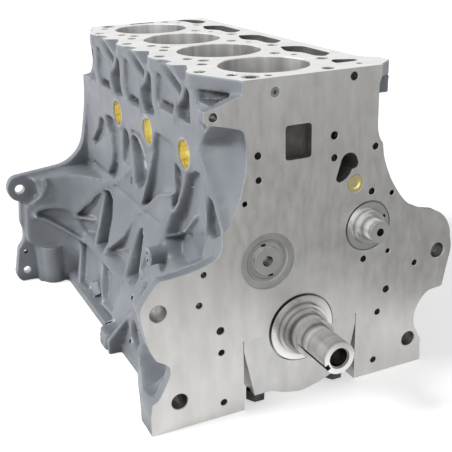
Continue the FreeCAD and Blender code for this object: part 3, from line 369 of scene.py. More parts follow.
# Low ridges over the wall: their line, height and half width
WALL_RIDGES = [
    ([(53, 190), (44, 178), (29, 160), (14, 139), (-1, 118)], 2.5, 4),
    ([(57, 188), (51, 173), (43, 149), (37, 126), (40, 102)], 2.0, 3.5),
    ([(70, 114), (90, 99), (115, 81)], 6, 4),
    ([(134, 120), (166, 112), (190, 95), (216, 75), (240, 66)], 2.5, 5),
    ([(262, 113), (300, 90), (338, 73), (360, 70)], 2.5, 4.5),
    ([(252, 17), (280, 5), (304, -6)], 3, 3.5),
    ([(392, 13), (420, 3), (448, -6)], 3, 3.5),
    ([(88, 158), (94, 143), (101, 129), (116, 112), (133, 98), (149, 70), (156, 56)], 2.2, 4),
    ([(173, 180), (182, 156), (192, 136), (204, 113), (214, 95), (226, 78)], 1.6, 4),
    ([(206, 138), (236, 159)], 1.2, 3),
    ([(186, 10), (206, 54)], 1.8, 3.5),
    ([(227, 52), (227, -12)], 1.5, 4.5),
    ([(364, 58), (347, -10)], 1.6, 4),
    ([(308, 62), (302, 8), (310, -10)], 1.6, 6),
    ([(225, -15), (300, -15), (380, -14), (440, -18), (470, -26)], 2, 3.5),
    ([(314, -21), (268, -58)], 1.8, 3),
    ([(401, -21), (370, -70)], 1.8, 3),
    ([(184, -34), (130, -60)], 2, 3),
    ([(184, -36), (155, -58)], 3, 3),
]

# Steepness of the pockets' sides and the round at their floor. A floor that runs out starts at the
# shallowest share of the pocket's depth and has all of it from a share of its reach on.
POCKET_SIDE = 4.5
POCKET_ROUND = 3.0
SHALLOWEST = 0.2
FULL_DEPTH_FROM = 0.7

# Depth that the front corner falls away to, the steepness of its edge and the round at its floor
CORNER_DEPTH = 27
CORNER_SIDE = 3
CORNER_ROUND = 8.0


def left_wall_map(rear, up):
    """How far the left wall's surface lies inside its outermost shape, over rear and height."""
    depth = np.zeros(np.broadcast(rear, up).shape)
    for points, deepest, runs_out in CHEST_POCKETS + WALL_POCKETS:
        inward = -outline_distance(points, rear, up)
        floor = np.full(inward.shape, float(deepest))
        if runs_out:
            reach = max(math.dist(runs_out, point) for point in points)
            away = np.hypot(rear - runs_out[0], up - runs_out[1])
            floor = deepest * np.clip(away / (FULL_DEPTH_FROM * reach), SHALLOWEST, 1)
        side = np.clip(inward + 0.3, 0, None) * POCKET_SIDE
        depth = np.maximum(depth, grown_together(side, floor, POCKET_ROUND))
    depth = np.maximum(depth, corner_hollow(rear, up))
    for points, height, half in CHEST_RIDGES + WALL_RIDGES:
        away = line_distance(points, rear, up)
        depth -= height * np.clip(1.25 - away / half, 0, 1) ** 1.5
    return smoothed(depth, 1)


def corner_hollow(rear, up):
    """The front corner falls away from its slanting rib to the edge of the front plate."""
    inward = -outline_distance(CORNER_HOLLOW, rear, up)
    (y0, z0), (y1, z1) = CORNER_HOLLOW[0], CORNER_HOLLOW[-1]
    length = math.hypot(y1 - y0, z1 - z0)
    from_rib = ((rear - y0) * (z1 - z0) - (up - z0) * (y1 - y0)) / length
    floor = CORNER_DEPTH * np.tanh(np.clip(from_rib + 1, 0, None) / CORNER_DEPTH)
    return grown_together(np.clip(inward + 0.3, 0, None) * CORNER_SIDE, floor, CORNER_ROUND)


# The wall turns in at both ends above a height, each along a line through two places (rear, right)
FRONT_TURN_UP = 238
FRONT_TURN = [(8, -58), (58, -86)]
REAR_TURN_UP = 200
REAR_TURN = [(392, -86), (450, -66)]


def turned_in(turn, rear):
    """How far to the right the line of a turn lies at places along the block."""
    (y0, x0), (y1, x1) = turn
    return x0 + (rear - y0) * (x1 - x0) / (y1 - y0)


flat_left = np.interp(wall_up, *zip(*LEFT_WALL))
left = flat_left + left_wall_map(wall_rear, wall_up)
front_end = turned_in(FRONT_TURN, wall_rear) + left - flat_left
left = np.where(wall_up > FRONT_TURN_UP, np.maximum(left, front_end), left)
left = np.where(wall_up > REAR_TURN_UP, np.maximum(left, turned_in(REAR_TURN, wall_rear)), left)
slope = np.sqrt(1 + np.gradient(left, GRAIN, axis=0) ** 2 + np.gradient(left, GRAIN, axis=1) ** 2)

# Right wall: plain, with an upright rib at each middle main web
RIGHT_WALL = [(-84, 138), (40, 112), (75, 118), (118, 118), (150, 95), (268, 95)]
RIGHT_RIB = [(-60, 140), (40, 122), (70, 126), (120, 126), (160, 103), (205, 95)]
RIB_HALF = 6
RIB_SLOPE = 3
wall_right = np.interp(z, *zip(*RIGHT_WALL))
rib = np.interp(z, *zip(*RIGHT_RIB))
right_side = np.repeat(wall_right[None, :], len(y), axis=0)
for middle in MAINS[1:4]:
    fade = np.clip((RIB_HALF - np.abs(y - middle)) / RIB_SLOPE, 0, 1)[:, None]
    right_side = np.maximum(right_side, wall_right + (rib - wall_right) * fade)
right_side = smoothed(right_side, 1)

# Both walls and the faces with their machining stock, without the corner below the deck's front lug
CORNER_CUT = [(86, -20), (140, -20), (140, 14), (86, 14)]
CORNER_CUT_SPAN = (150, 400)
body = np.maximum((left / slope)[None] - x[:, None, None] / slope[None], x[:, None, None] - right_side[None])
body = np.maximum(body, outside(wall_rear, -STOCK, LENGTH + STOCK)[None])
body = np.maximum(body, outside(wall_up, RAIL - STOCK, DECK + STOCK)[None])
body = cut_away(body, through_z(CORNER_CUT, *CORNER_CUT_SPAN), 2)

# Front plate, as right and height: the start, then straight runs, arcs and curves
FRONT_PLATE = 14
FRONT_OUTLINE = ((-60, DECK + STOCK), [
    [(86, DECK + STOCK)], [(86, DECK)], [(85, DECK - 10), (80, DECK - 17)], [(80, 207)],
    [(84, 195), (93, 184)], [(96, 166), (107, 140), (125, 116), (150, 102)], [(167, 98)],
    [(179, 88), (187, 65)], [(189, 51), (187, 40)], [(180, 7)], [(163, 6)], [(146, -14), (155, -52)],
    [(155, RAIL - STOCK)], [(-168, RAIL - STOCK)], [(-168, -57)],
    [(-158, -40), (-146, -16), (-149, -5), (-160, 2)], [(-170, 32), (-173, 57)],
    [(-165, 70), (-152, 84)], [(-120, 87), (-94, 94), (-82, 102)], [(-67, 142), (-53, 182)],
    [(-57, 200), (-59, 214)], [(-66, 219), (-82, 223), (-100, 226)], [(-102, 232), (-99, 237)],
    [(-60, DECK - 12)], [(-60, DECK + STOCK)],
])
body = grown_together(body, through_y(outline_points(*FRONT_OUTLINE), -STOCK, FRONT_PLATE), 7)

# Rear flange for the gearbox, with four bolt ears
REAR_FLANGE = 12
REAR_OUTLINE = ((-200, RAIL - STOCK), [
    [(-200, RAIL)], [(-205, -75), (-206, -62)], [(-200, -30)], [(-191, -17), (-194, 5)], [(-191, 37)],
    [(-206, 56), (-196, 73)], [(-135, 79)], [(-110, 90), (-94, 117)], [(-80, 190)],
    [(-68, 217), (-69, DECK - 11)], [(-62, DECK)], [(-62, DECK + STOCK)], [(90, DECK + STOCK)],
    [(90, DECK)], [(96, 190)], [(106, 112), (135, 79)], [(196, 73)], [(206, 56), (191, 37)], [(194, 5)],
    [(191, -17), (200, -30)], [(206, -62)], [(205, -75), (200, RAIL)], [(200, RAIL - STOCK)],
    [(-200, RAIL - STOCK)],
])
rear_flange = through_y(outline_points(*REAR_OUTLINE), LENGTH - REAR_FLANGE, LENGTH + STOCK)
body = grown_together(body, rear_flange, 6)

# Deck plate, as right and rear, with a tip over each outer head bolt
DECK_PLATE = 14
DECK_OUTLINE = [(-60, -STOCK), (86, -STOCK), (86, 0), (111, 20), (111, 38), (96, 52),
                (95, LENGTH + STOCK), (-62, LENGTH + STOCK)]
for bay, middle in reversed(list(enumerate(CYLINDERS))):
    if bay < 3:
        DECK_OUTLINE.append((-71, middle + 38))
    DECK_OUTLINE += [(-86, middle + 6), (-88, middle - 3), (-86, middle - 10)]
    if bay:
        DECK_OUTLINE.append((-72, middle - 44))
body = grown_together(body, through_z(DECK_OUTLINE, DECK - DECK_PLATE, DECK + STOCK), 4)

# Pan rail with the front foot, the side foot and its gusset, and the lug on the right under the deck
PAN_RAIL = 9
RAIL_OUTLINE = [(-168, -STOCK), (-168, 32), (-157, 67), (-141, 122), (-141, 178), (-150, 184), (-156, 192),
                (-156, 212), (-150, 222), (-141, 230), (-141, LENGTH + STOCK), (141, LENGTH + STOCK),
                (141, 110), (155, 40), (155, -STOCK)]
FRONT_FOOT = [(-110, -STOCK), (-167, -STOCK), (-167, 32), (-158, 58), (-147, 98), (-134, 122), (-110, 122)]
FRONT_FOOT_TALL = 36
SIDE_FOOT = [(-115, 176), (-141, 178), (-155, 190), (-155, 214), (-141, 228), (-115, 230)]
SIDE_FOOT_TALL = 19
SIDE_GUSSET = [(-110, RAIL - STOCK), (-156, RAIL - STOCK), (-156, -63), (-150, -57), (-124, -31),
               (-110, -25)]
RIGHT_LUG = [(94, 18), (111, 18), (111, 34), (94, 34)]
body = grown_together(body, through_z(RAIL_OUTLINE, RAIL - STOCK, RAIL + PAN_RAIL), 2.5)
body = grown_together(body, through_z(FRONT_FOOT, RAIL - STOCK, RAIL + FRONT_FOOT_TALL, 5), 5)
body = grown_together(body, through_z(SIDE_FOOT, RAIL - STOCK, RAIL + SIDE_FOOT_TALL, 4), 4)
body = grown_together(body, through_y(SIDE_GUSSET, 177, 184), 3)
body = grown_together(body, through_z(RIGHT_LUG, 229, 247, 3), 2)

# Sweep of the left wall out to the rear flange, as right and distance ahead of the rear face, its edge
# round the bolt ears as right and height, and its ribs (height, half width) and pockets (depth)
REAR_FLARE = [(-187, 25), (-170, 28), (-150, 34), (-128, 45), (-112, 59), (-100, 77), (-92, 97), (-84, 100)]
FLARE_OUTLINE = [(-60, RAIL - STOCK), (-178, RAIL - STOCK), (-177.5, -28), (-187.5, -19), (-189, -12),
                 (-186, 33), (-178, 37), (-168, 46), (-168, 60), (-174, 70), (-120, 75), (-60, 75)]
FLARE_RIBS = [
    (curve_points([(-178, 20), (-160, 11), (-140, -3), (-120, -19), (-94, -50)]), 9, 3.5),
    (curve_points([(-178, 20), (-172, 26), (-158, 30), (-140, 29), (-126, 23)]), 3.5, 3.5),
    ([(-128, 15), (-108, 14)], 3, 3),
    (curve_points([(-126, 18), (-110, 40), (-94, 66)]), 3, 3),
    (curve_points([(-180, 42), (-166, 46), (-158, 60), (-160, 74)]), 4, 4),
]
FLARE_POCKETS = [
    ([(-172, 19), (-170, 25), (-158, 28), (-140, 27), (-128, 20), (-120, 4), (-140, 6), (-158, 14)], 3),
    ([(-124, 17), (-107, 36), (-94, 62), (-84, 66), (-84, 14), (-110, 14)], 9),
    ([(-124, 12), (-84, 11), (-84, -30), (-100, -34)], 5),
]
sweep = np.repeat(np.interp(x, *zip(*REAR_FLARE))[:, None], len(z), axis=1)
for points, deepest in FLARE_POCKETS:
    inward = -outline_distance(points, face_right, face_up)
    sweep = sweep - np.clip(inward / 3, 0, 1) * deepest
for points, tall, half in FLARE_RIBS:
    sweep = sweep + tall * np.clip(1.3 - line_distance(points, face_right, face_up) / half, 0, 1)
sweep = smoothed(sweep, 2)
steep = np.sqrt(1 + np.gradient(sweep, GRAIN, axis=0) ** 2 + np.gradient(sweep, GRAIN, axis=1) ** 2)
flare = ((LENGTH - sweep)[:, None, :] - y[None, :, None]) / steep[:, None, :]
flare = -grown_together(-flare, -outline_distance(FLARE_OUTLINE, face_right, face_up)[:, None, :], 4)
flare = np.maximum(flare, (y - LENGTH + 4)[None, :, None])
body = grown_together(body, flare, 7)

# Starter boss on the flare's foot, the two slots, a lug over the pan rail and the sensor boss
STARTER_BOSS = (-156.5, LENGTH - 25)
SENSOR_BOSS = (147, 47)
WALL_LUG = [(334, -55), (297, -39), (285, -52), (316, -69)]
body = grown_together(body, boss(STARTER_BOSS, 16, 2, RAIL - STOCK, -28), 3)
for points, deepest in FLARE_SLOTS:
    slot = outline_distance(points, wall_rear, wall_up)[None]
    floor_of_slot = x[:, None, None] - (flat_left + deepest)[None]
    body = cut_away(body, -grown_together(-slot, -floor_of_slot, 3), 2)
lug = np.maximum(outline_distance(WALL_LUG, wall_rear, wall_up)[None], outside(x, -132, -104)[:, None, None])
body = grown_together(body, lug, 2)
body = grown_together(body, boss(SENSOR_BOSS, 10.5, 0, -112, -88), 2)

# Bosses behind the four large holes of the front plate, and rings round the core plugs
FRONT_MOUNTS = [(-155, 51.5), (171, 51.5), (-138, -49), (138, -49)]
PLUG_REAR = 25.3
PLUG_UP = 175.5
PLUG_BOSS = 18.5
for place in FRONT_MOUNTS:
    body = grown_together(body, boss(place, 14, 1, 2, 34), 4)
for middle in CYLINDERS[:3]:
    body = grown_together(body, boss((middle + PLUG_REAR, PLUG_UP), PLUG_BOSS, 0, -85.2, -60), 5)

# The solid becomes a skin, fine where it curves
field = openvdb.FloatGrid(3 * GRAIN)
field.copyFromArray(np.ascontiguousarray(np.clip(body, -3 * GRAIN, 3 * GRAIN).astype(np.float32)))
skin, triangles, quads = field.convertToPolygons(isovalue=0.0, adaptivity=0.2)
casting_mesh = bpy.data.meshes.new("cylinder_block_casting")
casting_mesh.from_pydata((skin * GRAIN + space_low).tolist(), [], triangles.tolist() + quads.tolist())
casting = bpy.data.objects.new("cylinder_block_casting", casting_mesh)
scene.collection.objects.link(casting)


# Machining of the cylinder block
# The flange faces, the deck and the oil pan face are milled flat, then the bores, seats and bolt holes
# are bored, drilled and honed. What is cut shows bare grey iron.
def turned_tool(start, axis, profile, sides=48):
    """A round tool along an axis, its profile as distances along it and radii."""
    points = []
    faces = []
    u, v = [(1, 2), (2, 0), (0, 1)][axis]
    for along, radius in profile:
        for side in range(sides):
            angle = 2 * math.pi * side / sides
            point = [0, 0, 0]
            point[axis] = start[axis] + along
            point[u] = start[u] + radius * math.cos(angle)
            point[v] = start[v] + radius * math.sin(angle)
            points.append(point)
    for ring in range(len(profile) - 1):
        for side in range(sides):
            after = (side + 1) % sides
            faces.append((ring * sides + side, ring * sides + after, (ring + 1) * sides + after,
                          (ring + 1) * sides + side))
    faces.append(list(range(sides))[::-1])
    faces.append([(len(profile) - 1) * sides + side for side in range(sides)])
    if profile[-1][0] < profile[0][0]:
        faces = [face[::-1] for face in faces]
    return points, faces


def drawn_tool(outline, axis, start, end):
    """A straight tool along an axis through a closed outline in the other two."""
    u, v = [(1, 2), (0, 2), (0, 1)][axis]
    points = []
    for along in (start, end):
        for across, up in outline:
            point = [0, 0, 0]
            point[axis] = along
            point[u] = across
            point[v] = up
            points.append(point)
    count = len(outline)
    area = sum(a[0] * b[1] - b[0] * a[1] for a, b in zip(outline, outline[1:] + outline[:1]))
    faces = [list(range(count))[::-1], list(range(count, 2 * count))]
    faces += [(side, (side + 1) % count, count + (side + 1) % count, count + side) for side in range(count)]
    if (area < 0) != (axis == 1):
        faces = [face[::-1] for face in faces]
    return points, faces


def joined_tool(name, parts, material):
    """One cutter of several parts; the faces that it cuts take its material."""
    points = []
    faces = []
    for part_points, part_faces in parts:
        faces += [[index + len(points) for index in face] for face in part_faces]
        points += part_points
    mesh = bpy.data.meshes.new(name)
    mesh.from_pydata(points, [], faces)
    mesh.materials.append(material)
    tool = bpy.data.objects.new(name, mesh)
    scene.collection.objects.link(tool)
    return tool


def machine(piece, tool):
    """Cut a piece with a tool; the new faces keep the tool's material."""
    step = piece.modifiers.new("cut", "BOOLEAN")
    step.operation = "DIFFERENCE"
    step.solver = "MANIFOLD"
    step.material_mode = "TRANSFER"
    step.object = tool
    bpy.context.view_layer.update()
    result = bpy.data.meshes.new_from_object(piece.evaluated_get(bpy.context.evaluated_depsgraph_get()))
    piece.modifiers.clear()
    if not result.polygons:
        raise ValueError("nothing left after " + tool.name)
    piece.data = result
    bpy.data.objects.remove(tool)


def rounded(outline, radius, steps=5):
    """Round the corners of an outline."""
    points = []
    for before, here, after in zip(outline[-1:] + outline[:-1], outline, outline[1:] + outline[:1]):
        back = Vector(before) - Vector(here)
        ahead = Vector(after) - Vector(here)
        reach = min(radius, back.length * 0.45, ahead.length * 0.45)
        first = Vector(here) + back.normalized() * reach
        last = Vector(here) + ahead.normalized() * reach
        for step in range(steps + 1):
            t = step / steps
            point = first * (1 - t) ** 2 + Vector(here) * 2 * t * (1 - t) + last * t ** 2
            points.append((point.x, point.y))
    return points


def drilled(place, axis, radius, depth, chamfer=0.6, towards=1):
    """Tool for a blind hole with a drill point, entering at a machined face."""
    profile = [(depth + radius * 0.5, 0.2), (depth, radius), (chamfer, radius), (0, radius + chamfer),
               (-3, radius + chamfer + 3)]
    if towards > 0:
        profile = profile[::-1]
    else:
        profile = [(-along, size) for along, size in profile]
    return turned_tool(place, axis, profile, 32 if radius < 10 else 64)


def wave_texture(material, place, scale, stretch=(1, 1, 1), detail=3.0, roughness=0.5):
    """Noise over the object's own coordinates, stretched along the axes."""
    mapped = shader(material, "Mapping", Vector=place, Scale=stretch)
    return shader(material, "TexNoise", Vector=mapped.outputs[0], Scale=scale, Detail=detail,
                  Roughness=roughness).outputs["Fac"]


def spread(material, value, low, high, start=0.3, stop=0.7):
    """Map a noise value onto a range."""
    node = shader(material, "MapRange", From_Min=start, From_Max=stop, To_Min=low, To_Max=high)
    material.node_tree.links.new(value, node.inputs["Value"])
    return node.outputs[0]


def tinted(material, factor, dark, light):
    node = shader(material, "Mix", data_type="RGBA")
    material.node_tree.links.new(factor, node.inputs["Factor"])
    node.inputs[6].default_value = (*dark, 1)
    node.inputs[7].default_value = (*light, 1)
    return node.outputs[2]


def raised(material, height, strength, distance):
    return shader(material, "Bump", Height=height, Strength=strength, Distance=distance).outputs[0]


def surface(name, dark, light, metallic, roughness, cloud=(60, (1, 1, 1)), grain=None, uneven=0.0):
    """A procedural finish: a cloudy tint, a roughness that varies and a fine grain in the surface."""
    material = bpy.data.materials.new(name)
    material.use_nodes = True
    look = material.node_tree.nodes["Principled BSDF"]
    place = shader(material, "TexCoord").outputs["Object"]
    cloudy = wave_texture(material, place, cloud[0], cloud[1])
    colour = tinted(material, spread(material, cloudy, 0, 1), dark, light)
    material.node_tree.links.new(colour, look.inputs["Base Color"])
    look.inputs["Metallic"].default_value = metallic
    if uneven:
        patchy = wave_texture(material, place, cloud[0] * 3, cloud[1])
        material.node_tree.links.new(spread(material, patchy, roughness - uneven, roughness + uneven),
                                     look.inputs["Roughness"])
    else:
        look.inputs["Roughness"].default_value = roughness
    if grain:
        fine = wave_texture(material, place, grain[0], grain[1], 2.0)
        material.node_tree.links.new(raised(material, fine, grain[2], 0.0006), look.inputs["Normal"])
    return material


def painted_shade_in_corners(material, distance, darkest):
    """Painted shade: the colour is darkened in inner corners, recesses and holes."""
    look = material.node_tree.nodes["Principled BSDF"]
    colour = look.inputs["Base Color"].links[0].from_socket
    corner = shader(material, "AmbientOcclusion", Distance=distance)
    painted_light_level = spread(material, corner.outputs["AO"], darkest, 1.0, 0.25, 0.85)
    node = shader(material, "Mix", data_type="RGBA", blend_type="MULTIPLY")
    node.inputs["Factor"].default_value = 1.0
    material.node_tree.links.new(colour, node.inputs[6])
    grey = shader(material, "CombineColor")
    for channel in ("Red", "Green", "Blue"):
        material.node_tree.links.new(painted_light_level, grey.inputs[channel])
    material.node_tree.links.new(grey.outputs[0], node.inputs[7])
    material.node_tree.links.new(node.outputs[2], look.inputs["Base Color"])


def painted_edge_highlight(material, distance, lightest):
    """Painted highlight: the colour is lightened on sharp edges and rib crests."""
    look = material.node_tree.nodes["Principled BSDF"]
    colour = look.inputs["Base Color"].links[0].from_socket
    edge = shader(material, "AmbientOcclusion", Distance=distance, inside=True)
    painted_light_level = spread(material, edge.outputs["AO"], lightest, 1.0, 0.3, 0.85)
    node = shader(material, "VectorMath", operation="SCALE")
    material.node_tree.links.new(colour, node.inputs[0])
    material.node_tree.links.new(painted_light_level, node.inputs["Scale"])
    material.node_tree.links.new(node.outputs[0], look.inputs["Base Color"])


painted = surface("block_paint", (0.215, 0.232, 0.256), (0.258, 0.276, 0.302), 0.0, 0.42, (25, (1, 1, 1)),
                  (700, (1, 1, 1), 0.3), 0.06)
painted.node_tree.nodes["Principled BSDF"].inputs["Specular IOR Level"].default_value = 0.3
# Painted highlight lightens the casting's sharp edges and rib crests
painted_edge_highlight(painted, 0.004, 2.2)
# Painted shade darkens the casting's pockets and inner corners
painted_shade_in_corners(painted, 0.028, 0.16)
milled_front = surface("milled_front", (0.56, 0.55, 0.53), (0.66, 0.65, 0.63), 0.9, 0.42, (50, (1, 1, 0.35)),
                       (900, (1, 1, 0.25), 0.25), 0.07)
milled_deck = surface("milled_deck", (0.74, 0.74, 0.73), (0.84, 0.84, 0.83), 0.8, 0.42, (50, (0.4, 1, 1)),
                      (900, (0.25, 1, 1), 0.2), 0.07)
milled_rail = surface("milled_rail", (0.5, 0.5, 0.5), (0.6, 0.6, 0.6), 0.8, 0.4, (50, (1, 0.4, 1)))
cored = surface("cored_iron", (0.10, 0.095, 0.09), (0.17, 0.165, 0.16), 0.1, 0.75, (80, (1, 1, 1)),
                (500, (1, 1, 1), 0.5))
# The bores' upright streaks, from dark grey to near white, are painted reflections
honed = surface("honed_bore", (0.44, 0.435, 0.43), (1.0, 0.99, 0.98), 1.0, 0.38, (40, (1, 1, 0.04)),
                (600, (1, 1, 0.3), 0.06), 0.05)
bored = surface("bored_iron", (0.42, 0.42, 0.41), (0.52, 0.52, 0.51), 0.9, 0.35, (60, (1, 1, 1)))
threaded = surface("threaded_hole", (0.30, 0.30, 0.29), (0.55, 0.54, 0.53), 1.0, 0.35, (150, (1, 1, 1)),
                   (700, (1, 1, 1), 0.8))
# Painted shade darkens the drilled and threaded holes inside
painted_shade_in_corners(threaded, 0.0045, 0.16)
casting.data.materials.append(painted)

# The cutters of the flat faces are wider than the block
PLAN = [(-230, -30), (230, -30), (230, 500), (-230, 500)]
FACE = [(-230, -120), (230, -120), (230, 300), (-230, 300)]
CUT = 30
face_cutters = [drawn_tool(FACE, 1, -CUT, 0), drawn_tool(FACE, 1, LENGTH, LENGTH + CUT)]
machine(casting, joined_tool("face_cutters", face_cutters, milled_front))
machine(casting, joined_tool("deck_cutter", [drawn_tool(PLAN, 2, DECK, DECK + CUT)], milled_deck))
machine(casting, joined_tool("rail_cutter", [drawn_tool(PLAN, 2, RAIL - CUT, RAIL)], milled_rail))

# Crankcase bays between the main webs, as right and height, left as cast
MAIN_HALF = MAIN_WEB / 2
BAY = [(-104, RAIL - 1), (-66, 60), (-60, 106), (46, 106), (50, 62), (92, 56), (115, RAIL - 1)]
bays = [drawn_tool(rounded(BAY, 8), 1, first + MAIN_HALF, last - MAIN_HALF)
        for first, last in zip(MAINS, MAINS[1:])]
machine(casting, joined_tool("crankcase_bays", bays, cored))

# Cast openings down to the tappets, as right and rear from the cylinder's middle, and the hollow in the
# rear flare's foot
WINDOW = [(60, 87), (52, 64), (51, 54), (61, 39), (61, 14), (68, 6), (83, 19), (83, 74), (75, 82)]
LAST_WINDOW = [(55, 57), (52, 52), (60, 39), (61, 14), (68, 6), (82, 19), (82, 40), (68, 57)]
FIRST_WINDOW = [(56, 31), (57, 43), (64, 51), (84, 40), (82, 33), (76, 31)]
WINDOW_FLOOR = DECK - 122
FLARE_HOLLOW = [(-128, LENGTH - 36), (-150, LENGTH - 25), (-170, LENGTH - 19), (-170, LENGTH + 1),
                (-128, LENGTH + 1)]
windows = [drawn_tool(FLARE_HOLLOW, 2, -64, 44),
           drawn_tool(rounded(FIRST_WINDOW, 4), 2, WINDOW_FLOOR, DECK + 1)]
for middle, window in zip(CYLINDERS, [WINDOW, WINDOW, WINDOW, LAST_WINDOW]):
    outline = rounded([(right, middle + rear) for right, rear in window], 5)
    windows.append(drawn_tool(outline, 2, WINDOW_FLOOR, DECK + 1))
machine(casting, joined_tool("tappet_windows", windows, cored))

# Cylinder bores, chamfered at the deck and honed
BORE_BOTTOM = 105
bore = [(BORE_BOTTOM, BORE_RADIUS), (DECK - 0.9, BORE_RADIUS), (DECK, BORE_RADIUS + 0.9),
        (DECK + 3, BORE_RADIUS + 3.9)]
bores = [turned_tool((ROW_X, middle, 0), 2, bore, 96) for middle in CYLINDERS]
machine(casting, joined_tool("cylinder_bores", bores, honed))

# Seats of the two shafts, as distance along the axis and radius: the camshaft's runs through all webs,
# the auxiliary shaft's lie in the front wall, under a shallow recess, and in the second web
CAM_PLACE = (79.1, 0, 97)
CAM_SEAT = 26.96
AUXILIARY_PLACE = (-38.1, 0, 81.5)
AUXILIARY_RECESS = 29.7
AUXILIARY_SEAT = 22.06
REAR_SEAT_PLACE = (-38.1, MAINS[1] - MAIN_HALF - 1, 81.5)
REAR_SEAT = 13.06
recesses = [
    turned_tool(CAM_PLACE, 1, [(-4, CAM_SEAT + 4.8), (0, CAM_SEAT + 0.8), (0.8, CAM_SEAT),
                               (LENGTH + 1, CAM_SEAT)], 64),
    turned_tool(AUXILIARY_PLACE, 1, [(-3, AUXILIARY_RECESS), (1.5, AUXILIARY_RECESS), (1.5, 22.7),
                                     (2.2, AUXILIARY_SEAT), (29, AUXILIARY_SEAT)], 64),
    turned_tool(REAR_SEAT_PLACE, 1, [(0, REAR_SEAT), (MAIN_WEB + 2, REAR_SEAT)], 48),
]

# Seats of the rear core plug, of the front face's brass plug and screw plug, of the plug of the oil
# gallery, which is drilled along the block from the rear, and of the left wall's core plugs
PLUG_SEAT = 15.52
REAR_PLUG_PLACE = (ROW_X, LENGTH, 200)
BRASS_PLUG_PLACE = (62, 0, 145.5)
BRASS_SEAT = 9.02
SCREW_PLUG_PLACE = (-29, 0, DECK - 14)
SCREW_SEAT = 4.52
GALLERY_PLACE = (-66, LENGTH, 122)
GALLERY_RADIUS = 6
GALLERY_LENGTH = 386
recesses += [
    turned_tool(REAR_PLUG_PLACE, 1, [(-14, PLUG_SEAT), (-0.8, PLUG_SEAT), (3, 19.3)], 64),
    turned_tool(BRASS_PLUG_PLACE, 1, [(-3, 12.8), (0, 9.8), (0.8, BRASS_SEAT), (20, BRASS_SEAT)], 48),
    turned_tool(SCREW_PLUG_PLACE, 1, [(-3, 8), (0, 5), (0.5, SCREW_SEAT), (25, SCREW_SEAT)], 32),
    turned_tool(GALLERY_PLACE, 1, [(-GALLERY_LENGTH, GALLERY_RADIUS), (-0.6, GALLERY_RADIUS), (3, 9.6)], 32),
]
for middle in CYLINDERS[:3]:
    recesses.append(turned_tool((-90, middle + PLUG_REAR, PLUG_UP), 0, [(0, PLUG_SEAT), (34, PLUG_SEAT)], 64))
machine(casting, joined_tool("shaft_seats", recesses, bored))

# Cast openings of the front face: the square inlet and the kidney beside the camshaft
INLET = [(-18.5, 181), (10, 181), (10, 215), (-18.5, 215)]
KIDNEY = outline_points((39, 156), [
    [(39.5, 151.5), (44, 150)], [(51, 153.5), (57, 162)], [(63, 164), (63, 171)],
    [(54, 179), (44.5, 173)], [(39, 156)],
])
openings = [drawn_tool(rounded(INLET, 4), 1, -1, 11), drawn_tool(KIDNEY, 1, -1, 39)]
machine(casting, joined_tool("front_openings", openings, cored))

# Main bore through all webs with the tappet bores above, then the slot that the main caps fill
MAIN_BORE = 38.0
TAPPET_RIGHT = 74.1
TAPPET_UP = 114
TAPPET_BORE = 8
TAPPET_LENGTH = 27
tappets = [turned_tool((0, -1, 0), 1, [(0, MAIN_BORE), (LENGTH + 2, MAIN_BORE)], 96)]
for bay, middle in enumerate(CYLINDERS):
    for rear in (-30 if bay else -25, 27):
        place = (TAPPET_RIGHT, middle + rear, TAPPET_UP)
        tappets.append(turned_tool(place, 2, [(0, TAPPET_BORE), (TAPPET_LENGTH, TAPPET_BORE)], 32))
machine(casting, joined_tool("main_bore", tappets, bored))
CAP_SLOT = [(-67, RAIL - 1), (67, RAIL - 1), (67, 0), (-67, 0)]
machine(casting, joined_tool("cap_slot", [drawn_tool(CAP_SLOT, 1, -1, LENGTH + 1)], bored))

# Drilled holes of the front face: the small ones as right, height and radius, then the four large ones
FRONT_HOLES = [
    (57, DECK - 8, 4.0), (-92, DECK - 30, 4.0), (-47.5, 190, 3.5), (-47, 166, 3.2), (-62, 145, 2.6),
    (36, 198.5, 4.0), (36.5, 176, 3.5), (84.5, 181, 3.5), (82, 134, 3.5), (107, 128.5, 2.6),
    (74.5, 61, 3.5), (105, 64, 2.6), (-107, 81.5, 3.0), (-113, 50.5, 3.2), (-91.5, 18, 4.0),
    (105, 19.5, 4.0), (-91, -6.5, 3.3), (95, -5.5, 3.5), (-90, -64, 3.5), (92, -63.5, 3.5),
    (141, 43, 3.3),
]
FRONT_HOLE_DEPTH = 13
MOUNT_HOLE = 8.5
MOUNT_HOLE_DEPTH = 36
holes = [drilled((right, 0, height), 1, radius, FRONT_HOLE_DEPTH) for right, height, radius in FRONT_HOLES]
for right, height in FRONT_MOUNTS:
    holes.append(drilled((right, 0, height), 1, MOUNT_HOLE, MOUNT_HOLE_DEPTH, 0.8))

# On each side the rear flange's bolt holes, as right, height and radius, and the pan rail's row
FLANGE_BOLTS = [(189.5, 55, 6.5), (192, -64, 5)]
FLANGE_BOLT_DEPTH = 30
PAN_BOLTS = 8
PAN_BOLT_RIGHT = 125
PAN_BOLT_FIRST = 18
PAN_BOLT_PITCH = 54
for side in (-1, 1):
    for right, height, radius in FLANGE_BOLTS:
        holes.append(drilled((side * right, LENGTH, height), 1, radius, FLANGE_BOLT_DEPTH, 0.8, -1))
    for number in range(PAN_BOLTS):
        rear = PAN_BOLT_FIRST + number * PAN_BOLT_PITCH
        holes.append(drilled((side * PAN_BOLT_RIGHT, rear, RAIL), 2, 4.2, 12, 0.5))

